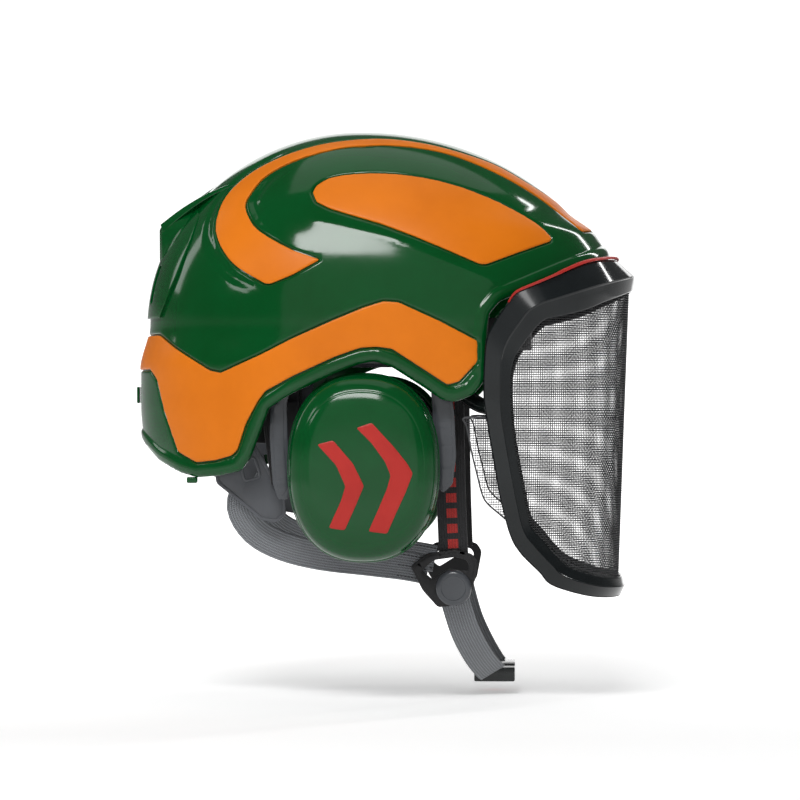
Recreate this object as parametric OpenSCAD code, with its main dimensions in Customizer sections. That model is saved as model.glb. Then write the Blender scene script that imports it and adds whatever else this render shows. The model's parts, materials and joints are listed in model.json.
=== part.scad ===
// Forestry helmet with a mesh visor, ear muffs and a chin strap.
// +X points forward, +Y to the wearer's left, +Z up. The origin is the middle of the
// wearer's head at headband level, which is where a head carries the helmet.

/* [Shell] */
// Height of the crown above the origin
crown_z = 119; // [117:0.5:120]
// Reach of the dome in front of its widest line
front_reach = 152; // [151:0.5:152.5]
// Reach of the dome behind its widest line
rear_reach = 127; // [126.5:0.5:129]
// Half of the dome's width above the lower belt
half_w = 105; // [104.5:0.5:106]
// Wall of the outer shell
shell_t = 3.2; // [2.8:0.1:3.4]
// How far the brow lip stands out from the dome
brow_lip = 6.5; // [5:0.5:7]
// Height of an inlay above the shell
inlay_t = 0.9; // [0.6:0.1:1.2]

/* [Visor] */
// Height of the visor's pivot
visor_pivot_z = -2; // [-2.5:0.5:-1.5]
// Distance of the visor's pivot in front of the origin
visor_pivot_x = 28; // [27.5:0.5:28.5]
// Thickness of the visor frame
visor_t = 3.2; // [3:0.1:3.4]
// Half of the visor's width at its top
visor_half_w = 111; // [110.5:0.5:111.5]

/* [Ear muffs] */
// Half of the cap's length along X
cap_half_x = 43.5; // [43:0.5:44]
// Half of the cap's height
cap_half_z = 54; // [53:0.5:54]
// Outermost face of the cap
cap_out_y = 121; // [119:0.5:122]
// Distance of the muff's middle in front of the origin
muff_x = 4.6; // [4:0.2:5]
// Height of the muff's middle
muff_z = -80.5; // [-81:0.5:-80]

/* [Straps] */
// Width of the webbing
web_w = 17; // [15:0.5:18]
// Thickness of the webbing
web_t = 1.4; // [1.2:0.1:1.6]

/* [Hidden] */

// The dome's widest line and the roundness of its level curves
mid_x = -2;
squareness = 0.94;
// Lowest level of the uncut dome
floor_z = -96;
// Clearance between pieces that lie on each other
gap = 0.05;
// Roundness of the visor's level curves
visor_round = 1 / 2.6;
// Height of the bend at the top of the visor bar
visor_bend_z = 30;
// Hinge axis of the ear muff arm
hinge_y = 93;
hinge_z = -7;
// Tilt axis of the ear cup
tilt_y = 89;
tilt_z = -86;
// Nape adjuster
nape_z = -55;
knob_r = 15;

shell_green = [0.0, 0.29, 0.1];
inlay_orange = [0.93, 0.5, 0.09];
black_plastic = [0.08, 0.08, 0.09];
dark_grey = [0.25, 0.26, 0.28];
web_grey = [0.42, 0.43, 0.45];
signal_red = [0.78, 0.2, 0.17];
steel = [0.6, 0.6, 0.62];

// ---------------------------------------------------------------- functions

// Smooth step from 0 at a to 1 at b
function ease(v, a, b) = let (t = max(0, min(1, (v - a) / (b - a)))) t * t * (3 - 2 * t);

function signed_pow(v, p) = sign(v) * pow(abs(v), p);

// Share of its full size that a level of the dome keeps
function share(z, grow) = z > 0 ? sqrt(max(0, 1 - pow(z / (crown_z + grow), 2))) : 1;

function front_x(z, grow) =
    mid_x + (front_reach + grow) * share(z, grow) + brow_lip * ease(z, 70, 56);

function rear_x(z, grow) =
    mid_x - (rear_reach + grow) * share(z, grow)
    - 5.5 * ease(z, 2, -24) + 4 * ease(z, -45, -88);

function side_y(z, grow) = (half_w + grow) * share(z, grow) + 2 * ease(z, 2, -24);

// A point on the dome at an angle from straight ahead
function dome_point(a, z, grow) =
    let (reach = cos(a) > 0 ? front_x(z, grow) - mid_x : mid_x - rear_x(z, grow))
    [mid_x + reach * signed_pow(cos(a), squareness),
     side_y(z, grow) * signed_pow(sin(a), squareness), z];

// Half width of the visor surface and its foremost line at a height
function visor_front(z, inset) =
    162.5 - inset - (z > visor_bend_z ? (z - visor_bend_z) * 0.86
                                      : (visor_bend_z - z) * 0.037);
function visor_half(z, inset) =
    visor_half_w - inset - (z > visor_bend_z ? (z - visor_bend_z) * 0.6
                                             : (visor_bend_z - z) * 0.05);
function visor_point(a, z, inset) =
    [mid_x + (visor_front(z, inset) - mid_x) * signed_pow(cos(a), 2 * visor_round),
     visor_half(z, inset) * signed_pow(sin(a), 2 * visor_round), z];

// A point on a smooth curve through the rows of a list, t running from 0 to the last row
function row(list, i) = list[max(0, min(len(list) - 1, i))];
function curve_at(list, t) =
    let (i = min(len(list) - 2, floor(t)), s = t - i,
         a = row(list, i - 1), b = row(list, i), c = row(list, i + 1), d = row(list, i + 2))
    0.5 * (2 * b + (c - a) * s + (2 * a - 5 * b + 4 * c - d) * s * s
           + (3 * b - a - 3 * c + d) * s * s * s);
function curve(list, steps) =
    [for (k = [0 : steps * (len(list) - 1)]) curve_at(list, k / steps)];

// Oval of superellipse form in two coordinates
function oval(rx, ry, power = 2.3, turns = 36) =
    [for (k = [0 : turns - 1]) let (a = 360 * k / turns)
        [rx * signed_pow(cos(a), 2 / power), ry * signed_pow(sin(a), 2 / power)]];

function unit(v) = v / norm(v);

// ---------------------------------------------------------------- shared shapes

// Solid through rings of points; the first and last ring are closed as flat faces
module skin_through(rings) {
    n = len(rings[0]);
    last = len(rings) - 1;
    sides = [for (i = [0 : last - 1], k = [0 : n - 1], half = [0, 1])
        let (a = i * n + k, b = i * n + (k + 1) % n)
        half == 0 ? [a, a + n, b] : [b, a + n, b + n]];
    first_cap = [for (k = [0 : n - 1]) k];
    last_cap = [for (k = [n - 1 : -1 : 0]) last * n + k];
    polyhedron([for (ring = rings) each ring], concat([first_cap, last_cap], sides));
}

// Ring-shaped solid: the last ring joins the first
module closed_sweep(rings) {
    n = len(rings[0]);
    count = len(rings);
    sides = [for (i = [0 : count - 1], k = [0 : n - 1], half = [0, 1])
        let (a = i * n + k, b = i * n + (k + 1) % n,
             c = (i + 1) % count * n + k, d = (i + 1) % count * n + (k + 1) % n)
        half == 0 ? [a, c, b] : [b, c, d]];
    polyhedron([for (ring = rings) each ring], sides);
}

// The whole dome, grown by some millimetres, from the crown to a flat floor
module dome(grow = 0, turns = 48, bottom = floor_z) {
    levels = concat([for (p = [85 : -8.5 : 0]) (crown_z + grow) * sin(p)],
                    [for (k = [1 : 8]) bottom * k / 8]);
    skin_through([for (z = levels)
        [for (k = [0 : turns - 1]) dome_point(-360 * k / turns, z, grow)]]);
}

// A side-view outline drawn in X and Z, reaching through the whole width
module side_cut(outline, y_from = -150, y_to = 150) {
    translate([0, y_to, 0])
        rotate([90, 0, 0])
            linear_extrude(y_to - y_from)
                polygon(outline);
}

// A thin plate that lies on the dome inside a side-view outline
module plate_on_dome(outline, low, high, y_from = -150, y_to = 150) {
    intersection() {
        difference() {
            dome(high);
            dome(low);
        }
        side_cut(outline, y_from, y_to);
    }
}

// Flat webbing along points. Its width lies along one direction, or its face looks along
// another.
module ribbon(points, across, facing, width = web_w, thick = web_t) {
    skin_through([for (i = [0 : len(points) - 1])
        let (ahead = unit(row(points, i + 1) - row(points, i - 1)),
             side = facing == undef ? unit(across - (across * ahead) * ahead)
                                    : unit(cross(facing, ahead)),
             out = cross(ahead, side))
        [points[i] + side * width / 2 + out * thick / 2,
         points[i] - side * width / 2 + out * thick / 2,
         points[i] - side * width / 2 - out * thick / 2,
         points[i] + side * width / 2 - out * thick / 2]]);
}

// Round bar along points
module rod(points, radius) {
    skin_through([for (i = [0 : len(points) - 1])
        let (ahead = unit(row(points, i + 1) - row(points, i - 1)),
             side = unit(cross(ahead, [0, 0, 1])),
             up = cross(side, ahead))
        [for (k = [0 : 11]) points[i] + radius * (side * cos(30 * k) - up * sin(30 * k))]]);
}

// The wearer's left side is the mirror of the right side
module left_side() {
    mirror([0, 1, 0]) children();
}

// Round bar along Y from one y to another
module y_pin(x, z, y_from, y_to, radius) {
    translate([x, y_to, z])
        rotate([90, 0, 0])
            cylinder(h = y_to - y_from, r = radius, $fn = 48);
}

// Round bar along X
module x_pin(x_from, x_to, y, z, radius) {
    translate([x_from, y, z])
        rotate([0, 90, 0])
            cylinder(h = x_to - x_from, r = radius, $fn = 48);
}

// ---------------------------------------------------------------- outer shell

// Lower rim in side view, from the brow to the nape
rim = [
    [165, 50], [146, 43], [98, 22], [82, 15], [75.5, 7], [74, -8], [73.8, -30],
    [67, -38.5], [57, -42.5], [50, -41.5], [39, -34], [21, -22.5], [11, -19.2], [2, -21],
    [-12, -26.5], [-37, -38], [-50, -46], [-54.5, -57.5], [-61.5, -75], [-67, -82],
    [-79, -84.7], [-93, -86], [-104, -83.5], [-118, -77], [-130, -67], [-150, -58]
];
shell_outline = concat(rim, [[-150, 130], [165, 130]]);

module outer_shell() {
    color(shell_green)
        difference() {
            intersection() {
                dome();
                side_cut(shell_outline);
            }
            dome(-shell_t, turns = 40, bottom = floor_z - 4);
            for (side = [-1, 1])
                y_pin(visor_pivot_x, visor_pivot_z, side * 103 - 9, side * 103 + 9, 2.6);
        }
}

// Rear cover with the spoiler edge and upright air slots
cover_outline = [
    [-84, 90], [-90, 62], [-104, 36], [-117, 6], [-134, 6], [-134, 60], [-122, 80]
];
spoiler_points = [
    [-74, 0, 99], [-76, -34, 84], [-76, 34, 84], [-121.5, -24, 61.7], [-121.5, 24, 61.7],
    [-120.2, -23, 51], [-120.2, 23, 51], [-121, -27, 38], [-121, 27, 38],
    [-84, -52, 62], [-84, 52, 62]
];

module spoiler() {
    hull()
        for (p = spoiler_points)
            translate(p)
                cube(0.2, center = true);
}

module rear_cover() {
    color(shell_green)
        difference() {
            union() {
                plate_on_dome(cover_outline, gap, 1.8);
                difference() {
                    spoiler();
                    dome(gap);
                }
            }
            for (y = [-30, -10, 10, 30])
                translate([-125, y, 26])
                    cube([30, 7, 22], center = true);
        }
}

// Lower inlay that runs round the nape from one temple to the other
band_outline = [
    [-150, -4], [-118.5, -4], [-107, -12], [-85, -25], [-78, -26.5], [-54, -16],
    [-36, -7], [-12, 3.5], [5, 10.5], [16, 14], [24.5, 13.5], [48, 2.8], [69.5, -8.5],
    [69.5, -20], [59, -31.5], [52.5, -33.4], [21, -12.9], [12, -11.8], [3, -12.4],
    [-11.5, -17.5], [-36, -28.6], [-51.5, -37], [-56, -43], [-63, -55.5], [-68, -70.5],
    [-71.5, -73.8], [-81, -76.5], [-93, -78], [-105, -72], [-114, -48], [-119, -30],
    [-124, -24], [-150, -24]
];

module lower_band() {
    color(inlay_orange)
        plate_on_dome(band_outline, gap, inlay_t);
}

// Swoosh inlay: a hook at the rear that runs forward along the crown
swoosh_outline = concat(
    curve([[139, 59.5], [132, 66], [113, 77], [97, 86.5], [78, 97], [55, 104.7],
           [36, 109.3], [17, 111.7], [0, 111.5], [-20, 109], [-37, 104.5], [-52, 98.5],
           [-65, 91], [-75.5, 81.5], [-81.5, 71.5], [-83.5, 59.5], [-82, 52.5],
           [-78, 44.5], [-69, 34.5], [-52, 24.5]], 2),
    [[-49, 24.3], [-36, 29.5], [-20.5, 38]],
    curve([[-36, 43.5], [-50, 51], [-59.5, 58], [-64.5, 66], [-66, 72], [-63.5, 78],
           [-57, 87], [-47, 94], [-32, 100.5], [-11, 106], [4, 107.3], [17, 107.7],
           [36, 106], [55, 101.7], [78, 92.3], [97, 82], [112, 71.8], [130, 57.3]], 2));

module swoosh() {
    color(inlay_orange)
        plate_on_dome(swoosh_outline, gap, inlay_t, -150, -6);
}

// Wing-shaped inlay on the side
wing_outline = concat(
    curve([[-26, 77.5], [-23, 82.5], [-14, 87], [2, 89], [21.5, 88.7], [41, 86],
           [60, 81], [79, 73.5], [92, 67], [104, 59.5], [112, 52]], 2),
    [[111, 50], [74, 35.5], [70, 36], [52, 43.8], [33, 51.7], [14, 58.9], [-5.5, 64.8],
     [-15.5, 68], [-23.5, 72]]);

module wing() {
    color(inlay_orange)
        plate_on_dome(wing_outline, gap, inlay_t, -150, -6);
}

// Lamp hooks at the nape: one on the centre line and one at each rear corner of the rim
module rear_hooks() {
    color(shell_green) {
        difference() {
            translate([-136.8, -8, -44])
                cube([4, 16, 10]);
            dome(1.2);
        }
        for (side = [-1, 1])
            translate([-99, side * 74 - 3, -90])
                cube([6, 6, 3.6]);
    }
}

// ---------------------------------------------------------------- liner and headband

liner_outline = [
    [-134, 8], [32, 8], [76, 26], [120, 54], [150, 60], [150, 130], [-134, 130]
];

module foam_liner() {
    color(black_plastic)
        difference() {
            intersection() {
                dome(-shell_t - 0.6, turns = 36);
                side_cut(liner_outline);
            }
            translate([4, 0, 0])
                scale([108, 81, 80])
                    sphere(1, $fn = 40);
        }
}

module crown_pad() {
    color(dark_grey)
        translate([0, 0, 68])
            linear_extrude(6)
                polygon(oval(30, 24));
}

module side_pads() {
    color(dark_grey)
        for (side = [-1, 1])
            translate([-6, side * 66.5 - 2.5, 20])
                rotate([-90, 0, 0])
                    linear_extrude(5)
                        polygon(oval(34, 9));
}

// Level curve of the headband
function band_oval(grow, front = 98, rear = 88, half = 75) =
    [for (k = [0 : 59]) let (a = 6 * k)
        [(cos(a) > 0 ? front + grow : rear + grow) * signed_pow(cos(a), 0.92),
         (half + grow) * signed_pow(sin(a), 0.92)]];

module band_ring(low, high, outer, inner, keep) {
    intersection() {
        translate([0, 0, low])
            linear_extrude(high - low)
                difference() {
                    polygon(band_oval(outer));
                    polygon(band_oval(inner));
                }
        translate([keep[0], -100, low - 1])
            cube([keep[1] - keep[0], 200, high - low + 2]);
    }
}

module headband() {
    color(black_plastic)
        band_ring(-12, 6, 2, 0, [-62, 110]);
}

module sweatband() {
    color(dark_grey)
        band_ring(-11, 5, -0.3, -5, [45, 110]);
}

// Rivets that hold the straps and the headband to the liner
module anchor_rivets() {
    color(steel)
        for (side = [-1, 1], x = [-30, 2])
            y_pin(x, 0, side * 80 - 1.2, side * 80 + 1.2, 3.2);
}

module nape_cradle() {
    color(black_plastic) {
        difference() {
            union() {
                band_ring(nape_z - 12, nape_z + 12, 8, 5.8, [-100, -46]);
                for (side = [-1, 1])
                    translate([-58, side * 78.5 - 1, nape_z + 4])
                        cube([12, 2, 56]);
                translate([-109, -27, nape_z - 13])
                    cube([13.5, 54, 26]);
            }
            translate([-107, -30, nape_z - 9.2])
                cube([7, 60, 18.4]);
            x_pin(-112, -94, 0, nape_z, 3.3);
        }
    }
}

module nape_pad() {
    color(dark_grey)
        band_ring(nape_z - 10, nape_z + 10, 5.4, 1, [-100, -70]);
}

module nape_knob() {
    color(dark_grey)
        translate([-123, 0, nape_z])
            rotate([0, 90, 0])
                linear_extrude(13.5)
                    difference() {
                        circle(r = knob_r, $fn = 72);
                        for (k = [0 : 17])
                            rotate(20 * k)
                                translate([knob_r + 0.6, 0])
                                    circle(r = 1.6, $fn = 16);
                    }
}

// Pinion and its axle, which turns with the knob
module nape_pinion() {
    color(steel) {
        x_pin(-109.4, -97, 0, nape_z, 3);
        translate([-106, 0, nape_z])
            rotate([0, 90, 0])
                linear_extrude(5)
                    union() {
                        circle(r = 4.6, $fn = 36);
                        for (k = [0 : 9])
                            rotate(36 * k)
                                translate([4.3, -0.7])
                                    square([1.6, 1.4]);
                    }
    }
}

// Toothless strip that the pinion draws through the housing
module nape_rack(side) {
    color(black_plastic)
        translate([-105.5, side > 0 ? -6 : -20, nape_z + (side > 0 ? 6.2 : -8.6)])
            cube([4, 26, 2.4]);
}

// ---------------------------------------------------------------- visor

// Outer and inner edge of the visor frame from the middle of the top bar down one side
// to the middle of the bottom bar: angle and height of the outer edge, then the inner
visor_edges = [
    [0, 41, 0, 23.5], [12, 40.6, 15, 20.5], [24, 39.5, 29, 15.5], [36, 36.8, 37, 11],
    [47, 31, 43.2, 8], [56, 23.5, 52.3, 4.5], [61, 18.5, 54.8, 0.5],
    [63, 12, 58, -8], [65.6, 3, 60.3, -16], [67.5, -7, 61.5, -25], [68, -20, 61.7, -34],
    [68, -40, 61.3, -52], [67.1, -55, 60.2, -69], [65.4, -77, 58.4, -88],
    [63.6, -98, 56.6, -105], [60.9, -119, 55.2, -115], [57.8, -130, 51.6, -122.5],
    [52.4, -140.5, 47.5, -131], [47.7, -148.7, 41.5, -139], [35, -155, 28.7, -144.4],
    [21, -157.3, 14, -146], [0, -157.5, 0, -146.5]
];
// The far side repeats the near side with the angles reversed
half_edges = curve(visor_edges, 2);
loop_edges = concat(half_edges,
    [for (k = [len(half_edges) - 2 : -1 : 1]) let (e = half_edges[k])
        [-e[0], e[1], -e[2], e[3]]]);

module visor_frame() {
    color(black_plastic)
        closed_sweep([for (e = loop_edges)
            [visor_point(-e[0], e[1], visor_t), visor_point(-e[2], e[3], visor_t),
             visor_point(-e[2], e[3], 0), visor_point(-e[0], e[1], 0)]]);
}

// Edge of the mesh: angle and height down one side, with the wing behind the side bar
mesh_edges = [
    [10, 24], [33, 17], [45, 11], [54, 7], [58, 1], [61, -8], [63.5, -18], [64.5, -34],
    [64.5, -50.4], [71.8, -52], [71.4, -57], [70.2, -71.5], [68.8, -85], [67.7, -95],
    [66.3, -101], [62.5, -108.5], [57.5, -118], [54, -125], [44, -140], [31, -147.5],
    [12, -149]
];
mesh_columns = 18;

module visor_mesh() {
    color(dark_grey)
        skin_through([for (e = mesh_edges) concat(
            [for (k = [0 : mesh_columns]) let (a = e[0] * (2 * k / mesh_columns - 1))
                visor_point(a, e[1], visor_t + 1.6)],
            [for (k = [mesh_columns : -1 : 0]) let (a = e[0] * (2 * k / mesh_columns - 1))
                visor_point(a, e[1], visor_t + 0.8)])]);
}

// Red sealing lip along the top bar
seal_path = [for (k = [-12 : 12])
    let (edge = curve_at(visor_edges, abs(k) / 2)) [k < 0 ? -edge[0] : edge[0], edge[1]]];

module visor_seal() {
    color(signal_red)
        skin_through([for (e = seal_path)
            [visor_point(e[0], e[1] + 0.2, 0.6), visor_point(e[0], e[1] + 0.2, 2.6),
             visor_point(e[0], e[1] + 1.8, 2), visor_point(e[0], e[1] + 1.8, 0)]]);
}

arm_path = [[34, -81.8, -9], [42, -81.8, -19], [54, -81.8, -33], [63, -82.2, -41],
            [71, -86.8, -45.6], [79, -92.2, -47]];

module visor_arm() {
    color(black_plastic)
        difference() {
            union() {
                rod(curve(arm_path, 2), 4);
                y_pin(visor_pivot_x, visor_pivot_z, -85.8, -77.8, 8);
            }
            y_pin(visor_pivot_x, visor_pivot_z, -90, -70, 2.5);
        }
}

module visor_pins() {
    color(steel)
        for (side = [-1, 1]) {
            y_pin(visor_pivot_x, visor_pivot_z, side * 90 - 13, side * 90 + 13, 2.4);
            y_pin(visor_pivot_x, visor_pivot_z, side * 76.6 - 0.7, side * 76.6 + 0.7, 5);
        }
}

module visor_bushes() {
    color(dark_grey)
        for (side = [-1, 1])
            difference() {
                y_pin(visor_pivot_x, visor_pivot_z, side * 93 - 6, side * 93 + 6, 5);
                y_pin(visor_pivot_x, visor_pivot_z, side * 93 - 7, side * 93 + 7, 2.5);
            }
}

// ---------------------------------------------------------------- ear muff (right side)

// Oval slab standing on the muff's middle line, between two distances from the centre
module muff_slab(rx, rz, near, far, power = 2.3) {
    translate([muff_x, -near, muff_z])
        rotate([90, 0, 0])
            linear_extrude(far - near)
                polygon(oval(rx, rz, power));
}

// Rings of the domed cap: distance from the centre and share of the full outline
cap_rings = [[97, 0.955], [98.5, 0.995], [101, 1], [107, 0.985], [112, 0.94],
             [116, 0.86], [119, 0.72], [120.5, 0.5], [121, 0.25]];

function cap_ring(y, share_) =
    [for (p = oval(cap_half_x * share_, cap_half_z * share_))
        [muff_x + p[0], -y + (121 - cap_out_y), muff_z + p[1]]];

module muff_cap() {
    color(shell_green)
        difference() {
            cap_solid();
            muff_slab(cup_half_x + 0.4, cup_half_z + 0.4, 90, 109);
        }
}

// Chevrons that lie on the cap's face, pointing forward
chevrons = [
    [
        [-25, 13.5], [-16, 15.8], [-4.8, 2.8], [1.4, -9.8], [-2.9, -20.1],
        [-9.5, -34.8], [-18.5, -33.5], [-11.5, -18.2], [-9, -10], [-14.3, 1.8]
    ],
    [
        [-2.9, 22.8], [5.7, 25.7], [18.1, 12.3], [25.7, 2.8], [28.8, -2.8],
        [24.8, -13.4], [19.1, -25.8], [14.3, -36.7], [3.8, -35.4], [8.6, -24.9],
        [14.3, -11.5], [16.4, -3.9], [13.3, 3.7], [5.7, 14.2]
    ]
];

module muff_chevrons() {
    color(signal_red)
        intersection() {
            for (outline = chevrons)
                translate([muff_x, -104, muff_z])
                    rotate([90, 0, 0])
                        linear_extrude(18)
                            polygon(outline);
            difference() {
                translate([0, -0.7, 0]) cap_solid();
                translate([0, -0.1, 0]) cap_solid();
            }
        }
}

module cap_solid() {
    skin_through([for (ring = cap_rings) cap_ring(ring[0], ring[1])]);
}

cup_half_x = 38;
cup_half_z = 50;

module muff_cup() {
    color(black_plastic)
        difference() {
            muff_slab(cup_half_x, cup_half_z, 86.3, 108.6);
            muff_slab(cup_half_x - 2.5, cup_half_z - 2.5, 88.5, 106.6);
            muff_slab(cup_half_x - 13, cup_half_z - 13, 84, 90);
            for (side = [-1, 1])
                x_pin(muff_x + side * 37 - 4, muff_x + side * 37 + 4, -tilt_y, tilt_z, 1.3);
        }
}

module ear_cushion() {
    color(black_plastic)
        difference() {
            muff_slab(cup_half_x - 0.5, cup_half_z - 1, 72, 86);
            muff_slab(cup_half_x - 14, cup_half_z - 14, 70, 88);
        }
}

module cup_foam() {
    color(dark_grey)
        muff_slab(cup_half_x - 3, cup_half_z - 3, 100, 106.3);
}

// Fork: stem in the carrier, cross bar, and one leg on each side of the cup
fork_outline = [
    [2, 8], [10, 8], [10, -14], [44, -14], [50, -17], [53, -26], [56, -50], [57, -74],
    [55, -90], [50, -95], [45.5, -91], [44, -78], [43.5, -50], [42, -27], [38, -21.5],
    [-31, -21.5], [-36, -26], [-40, -44], [-39, -70], [-36.6, -92], [-40, -99],
    [-45, -99], [-48, -90], [-50, -62], [-49, -38], [-44, -20], [-37, -14], [2, -14]
];

module muff_fork() {
    color(dark_grey)
        difference() {
            side_cut(fork_outline, -90.5, -87.5);
            x_pin(muff_x - 60, muff_x + 60, -tilt_y, tilt_z, 1.05);
        }
}

module fork_pins() {
    color(steel) {
        x_pin(muff_x + 36.3, muff_x + 48, -tilt_y, tilt_z, 1);
        x_pin(muff_x - 48, muff_x - 36.3, -tilt_y, tilt_z, 1);
    }
}

module muff_carrier() {
    color(black_plastic)
        difference() {
            translate([-8.5, -96, -13])
                cube([27, 9, 12]);
            translate([1.6, -90.8, -15])
                cube([8.8, 3.6, 18]);
            x_pin(-12, 22, -hinge_y, hinge_z, 1.6);
        }
}

module muff_bracket() {
    color(dark_grey)
        difference() {
            union() {
                for (x = [-12, 19])
                    translate([x, -99, -12])
                        cube([3, 12, 10]);
                translate([-12, -101, -12])
                    cube([34, 3, 10]);
            }
        }
    color(steel)
        x_pin(-11.9, 21.9, -hinge_y, hinge_z, 1.5);
}

// ---------------------------------------------------------------- straps (right side)

module front_strap() {
    color(black_plastic)
        ribbon(curve([[52, -75.8, 3], [52.5, -75.4, -30], [53, -74.6, -62], [53.6, -70.5, -95],
                      [54.6, -66, -124], [55, -65, -133]], 3), [1, 0, 0]);
}

module rear_strap() {
    color(web_grey)
        ribbon(curve([[-64, -71.5, -90], [-68, -70.5, -104], [-60, -67.5, -118],
                      [-44, -64.5, -127], [-22, -62.5, -132.5], [4, -62.3, -135.5],
                      [26, -63.6, -138], [40, -64.6, -140.5]], 3), facing = [0, 1, 0]);
}

// Black webbing that ties the nape plate to the liner on each side
module side_webbing() {
    color(black_plastic)
        for (side = [-1, 1])
            ribbon(curve([[-52, side * 83, -14], [-50, side * 82.6, -40],
                          [-47, side * 80.4, -66], [-44, side * 77.6, -90]], 3),
                   [1, 0, 0.1], width = 12);
}

nape_plate_outline = [
    [-84, -70], [-60, -66], [-50, -84], [-42, -98], [-41.5, -108], [-47, -113],
    [-56, -111.5], [-72, -98], [-82, -90]
];

module nape_plate() {
    color(dark_grey)
        difference() {
            side_cut(nape_plate_outline, -76, -73.2);
            side_cut([[-68, -76], [-60, -76], [-57, -86], [-65, -88]], -80, -70);
        }
}

divider_outline = [
    [30, -138], [40, -130.5], [56, -128.5], [66, -131], [69, -136], [66, -152],
    [60, -160], [46, -162], [37, -152]
];

module strap_divider() {
    color(black_plastic)
        side_cut(divider_outline, -68.6, -66.6);
}

module divider_caps() {
    color(dark_grey)
        for (side = [-1, 1])
            y_pin(55, -150.5, side * 71 - 2.2, side * 71 + 2.2, 10.4);
}

module chin_strap() {
    color(web_grey)
        ribbon(curve([[55, -64.6, -154], [57.5, -62, -164], [62, -55, -178],
                      [69, -44, -192], [75, -30, -201], [77, -25, -203]], 3), [0.88, 0, 0.47]);
}

// Chin buckle, its long way along Y
buckle_x = 78;
buckle_z = -204.5;

module buckle_block(y_from, y_to, half_x, half_z) {
    translate([buckle_x, y_from, buckle_z])
        rotate([-90, 0, 0])
            linear_extrude(y_to - y_from)
                square([2 * half_x, 2 * half_z], center = true);
}

module buckle_socket() {
    color(black_plastic)
        difference() {
            buckle_block(-4, 24, 12, 5);
            buckle_block(-6, 20, 9.3, 2.3);
            translate([buckle_x, 8, buckle_z - 6])
                cylinder(h = 5, r = 5.2, $fn = 48);
        }
}

module buckle_tongue() {
    color(black_plastic) {
        buckle_block(-24, -4.1, 12, 4.2);
        buckle_block(-4.1, 19, 9, 1.2);
    }
}

module buckle_button() {
    color(signal_red)
        translate([buckle_x, 8, buckle_z - 6.4])
            cylinder(h = 3.5, r = 5, $fn = 48);
}

// ---------------------------------------------------------------- nodes

outer_shell();
rear_cover();
lower_band();
swoosh();  // swoosh_right
left_side() swoosh();  // swoosh_left
wing();  // wing_right
left_side() wing();  // wing_left
rear_hooks();
foam_liner();
crown_pad();
side_pads();
headband();
sweatband();
anchor_rivets();
nape_cradle();
nape_pad();
nape_knob();
nape_pinion();
nape_rack(-1);  // nape_rack_right
nape_rack(1);  // nape_rack_left
visor_frame();
visor_mesh();
visor_seal();
visor_arm();  // visor_arm_right
left_side() visor_arm();  // visor_arm_left
visor_pins();
visor_bushes();
muff_cap();  // muff_cap_right
left_side() muff_cap();  // muff_cap_left
muff_chevrons();  // muff_chevrons_right
left_side() muff_chevrons();  // muff_chevrons_left
muff_cup();  // muff_cup_right
left_side() muff_cup();  // muff_cup_left
ear_cushion();  // ear_cushion_right
left_side() ear_cushion();  // ear_cushion_left
cup_foam();  // cup_foam_right
left_side() cup_foam();  // cup_foam_left
muff_fork();  // muff_fork_right
left_side() muff_fork();  // muff_fork_left
fork_pins();  // fork_pins_right
left_side() fork_pins();  // fork_pins_left
muff_carrier();  // muff_carrier_right
left_side() muff_carrier();  // muff_carrier_left
muff_bracket();  // muff_bracket_right
left_side() muff_bracket();  // muff_bracket_left
front_strap();  // front_strap_right
left_side() front_strap();  // front_strap_left
rear_strap();  // rear_strap_right
left_side() rear_strap();  // rear_strap_left
side_webbing();
nape_plate();  // nape_plate_right
left_side() nape_plate();  // nape_plate_left
strap_divider();  // strap_divider_right
left_side() strap_divider();  // strap_divider_left
divider_caps();
chin_strap();  // chin_strap_right
left_side() chin_strap();  // chin_strap_left
buckle_socket();
buckle_tongue();
buckle_button();
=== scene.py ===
"""Looks of a forestry helmet with a mesh visor, ear muffs and a chin strap.

Lengths in this script are millimetres and are turned into metres when a piece is made.
The floor, the lights and the camera at the end are placed in metres.
"""

import json
import math

import bmesh
import bpy
import numpy as np
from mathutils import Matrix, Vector, geometry
from mathutils.kdtree import KDTree


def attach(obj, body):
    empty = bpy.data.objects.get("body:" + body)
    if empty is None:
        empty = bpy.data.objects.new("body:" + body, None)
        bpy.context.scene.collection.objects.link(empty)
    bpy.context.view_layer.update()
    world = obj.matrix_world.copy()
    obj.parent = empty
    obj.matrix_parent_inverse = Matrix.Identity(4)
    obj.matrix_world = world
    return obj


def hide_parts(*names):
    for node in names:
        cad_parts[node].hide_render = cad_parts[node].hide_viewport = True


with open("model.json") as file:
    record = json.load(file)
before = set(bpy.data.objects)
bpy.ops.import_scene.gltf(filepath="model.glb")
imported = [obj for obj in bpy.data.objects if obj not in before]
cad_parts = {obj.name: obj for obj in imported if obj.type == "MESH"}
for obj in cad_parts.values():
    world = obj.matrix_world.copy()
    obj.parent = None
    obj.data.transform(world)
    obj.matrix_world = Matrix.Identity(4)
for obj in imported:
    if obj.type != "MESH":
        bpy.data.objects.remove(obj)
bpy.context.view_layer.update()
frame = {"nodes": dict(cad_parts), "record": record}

MM = 0.001
SIDES = {"right": 1, "left": -1}
BODY_OF = {
    node: body
    for body, nodes in frame["record"]["behaviour"]["bodies"].items()
    for node in nodes
}

# ------------------------------------------------------------------ small maths


def ease(v, a, b):
    t = np.clip((v - a) / (b - a), 0, 1)
    return t * t * (3 - 2 * t)


def spow(v, p):
    return np.sign(v) * np.abs(v) ** p


def unit(v):
    return v / np.maximum(np.linalg.norm(v, axis=-1, keepdims=True), 1e-12)


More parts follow.
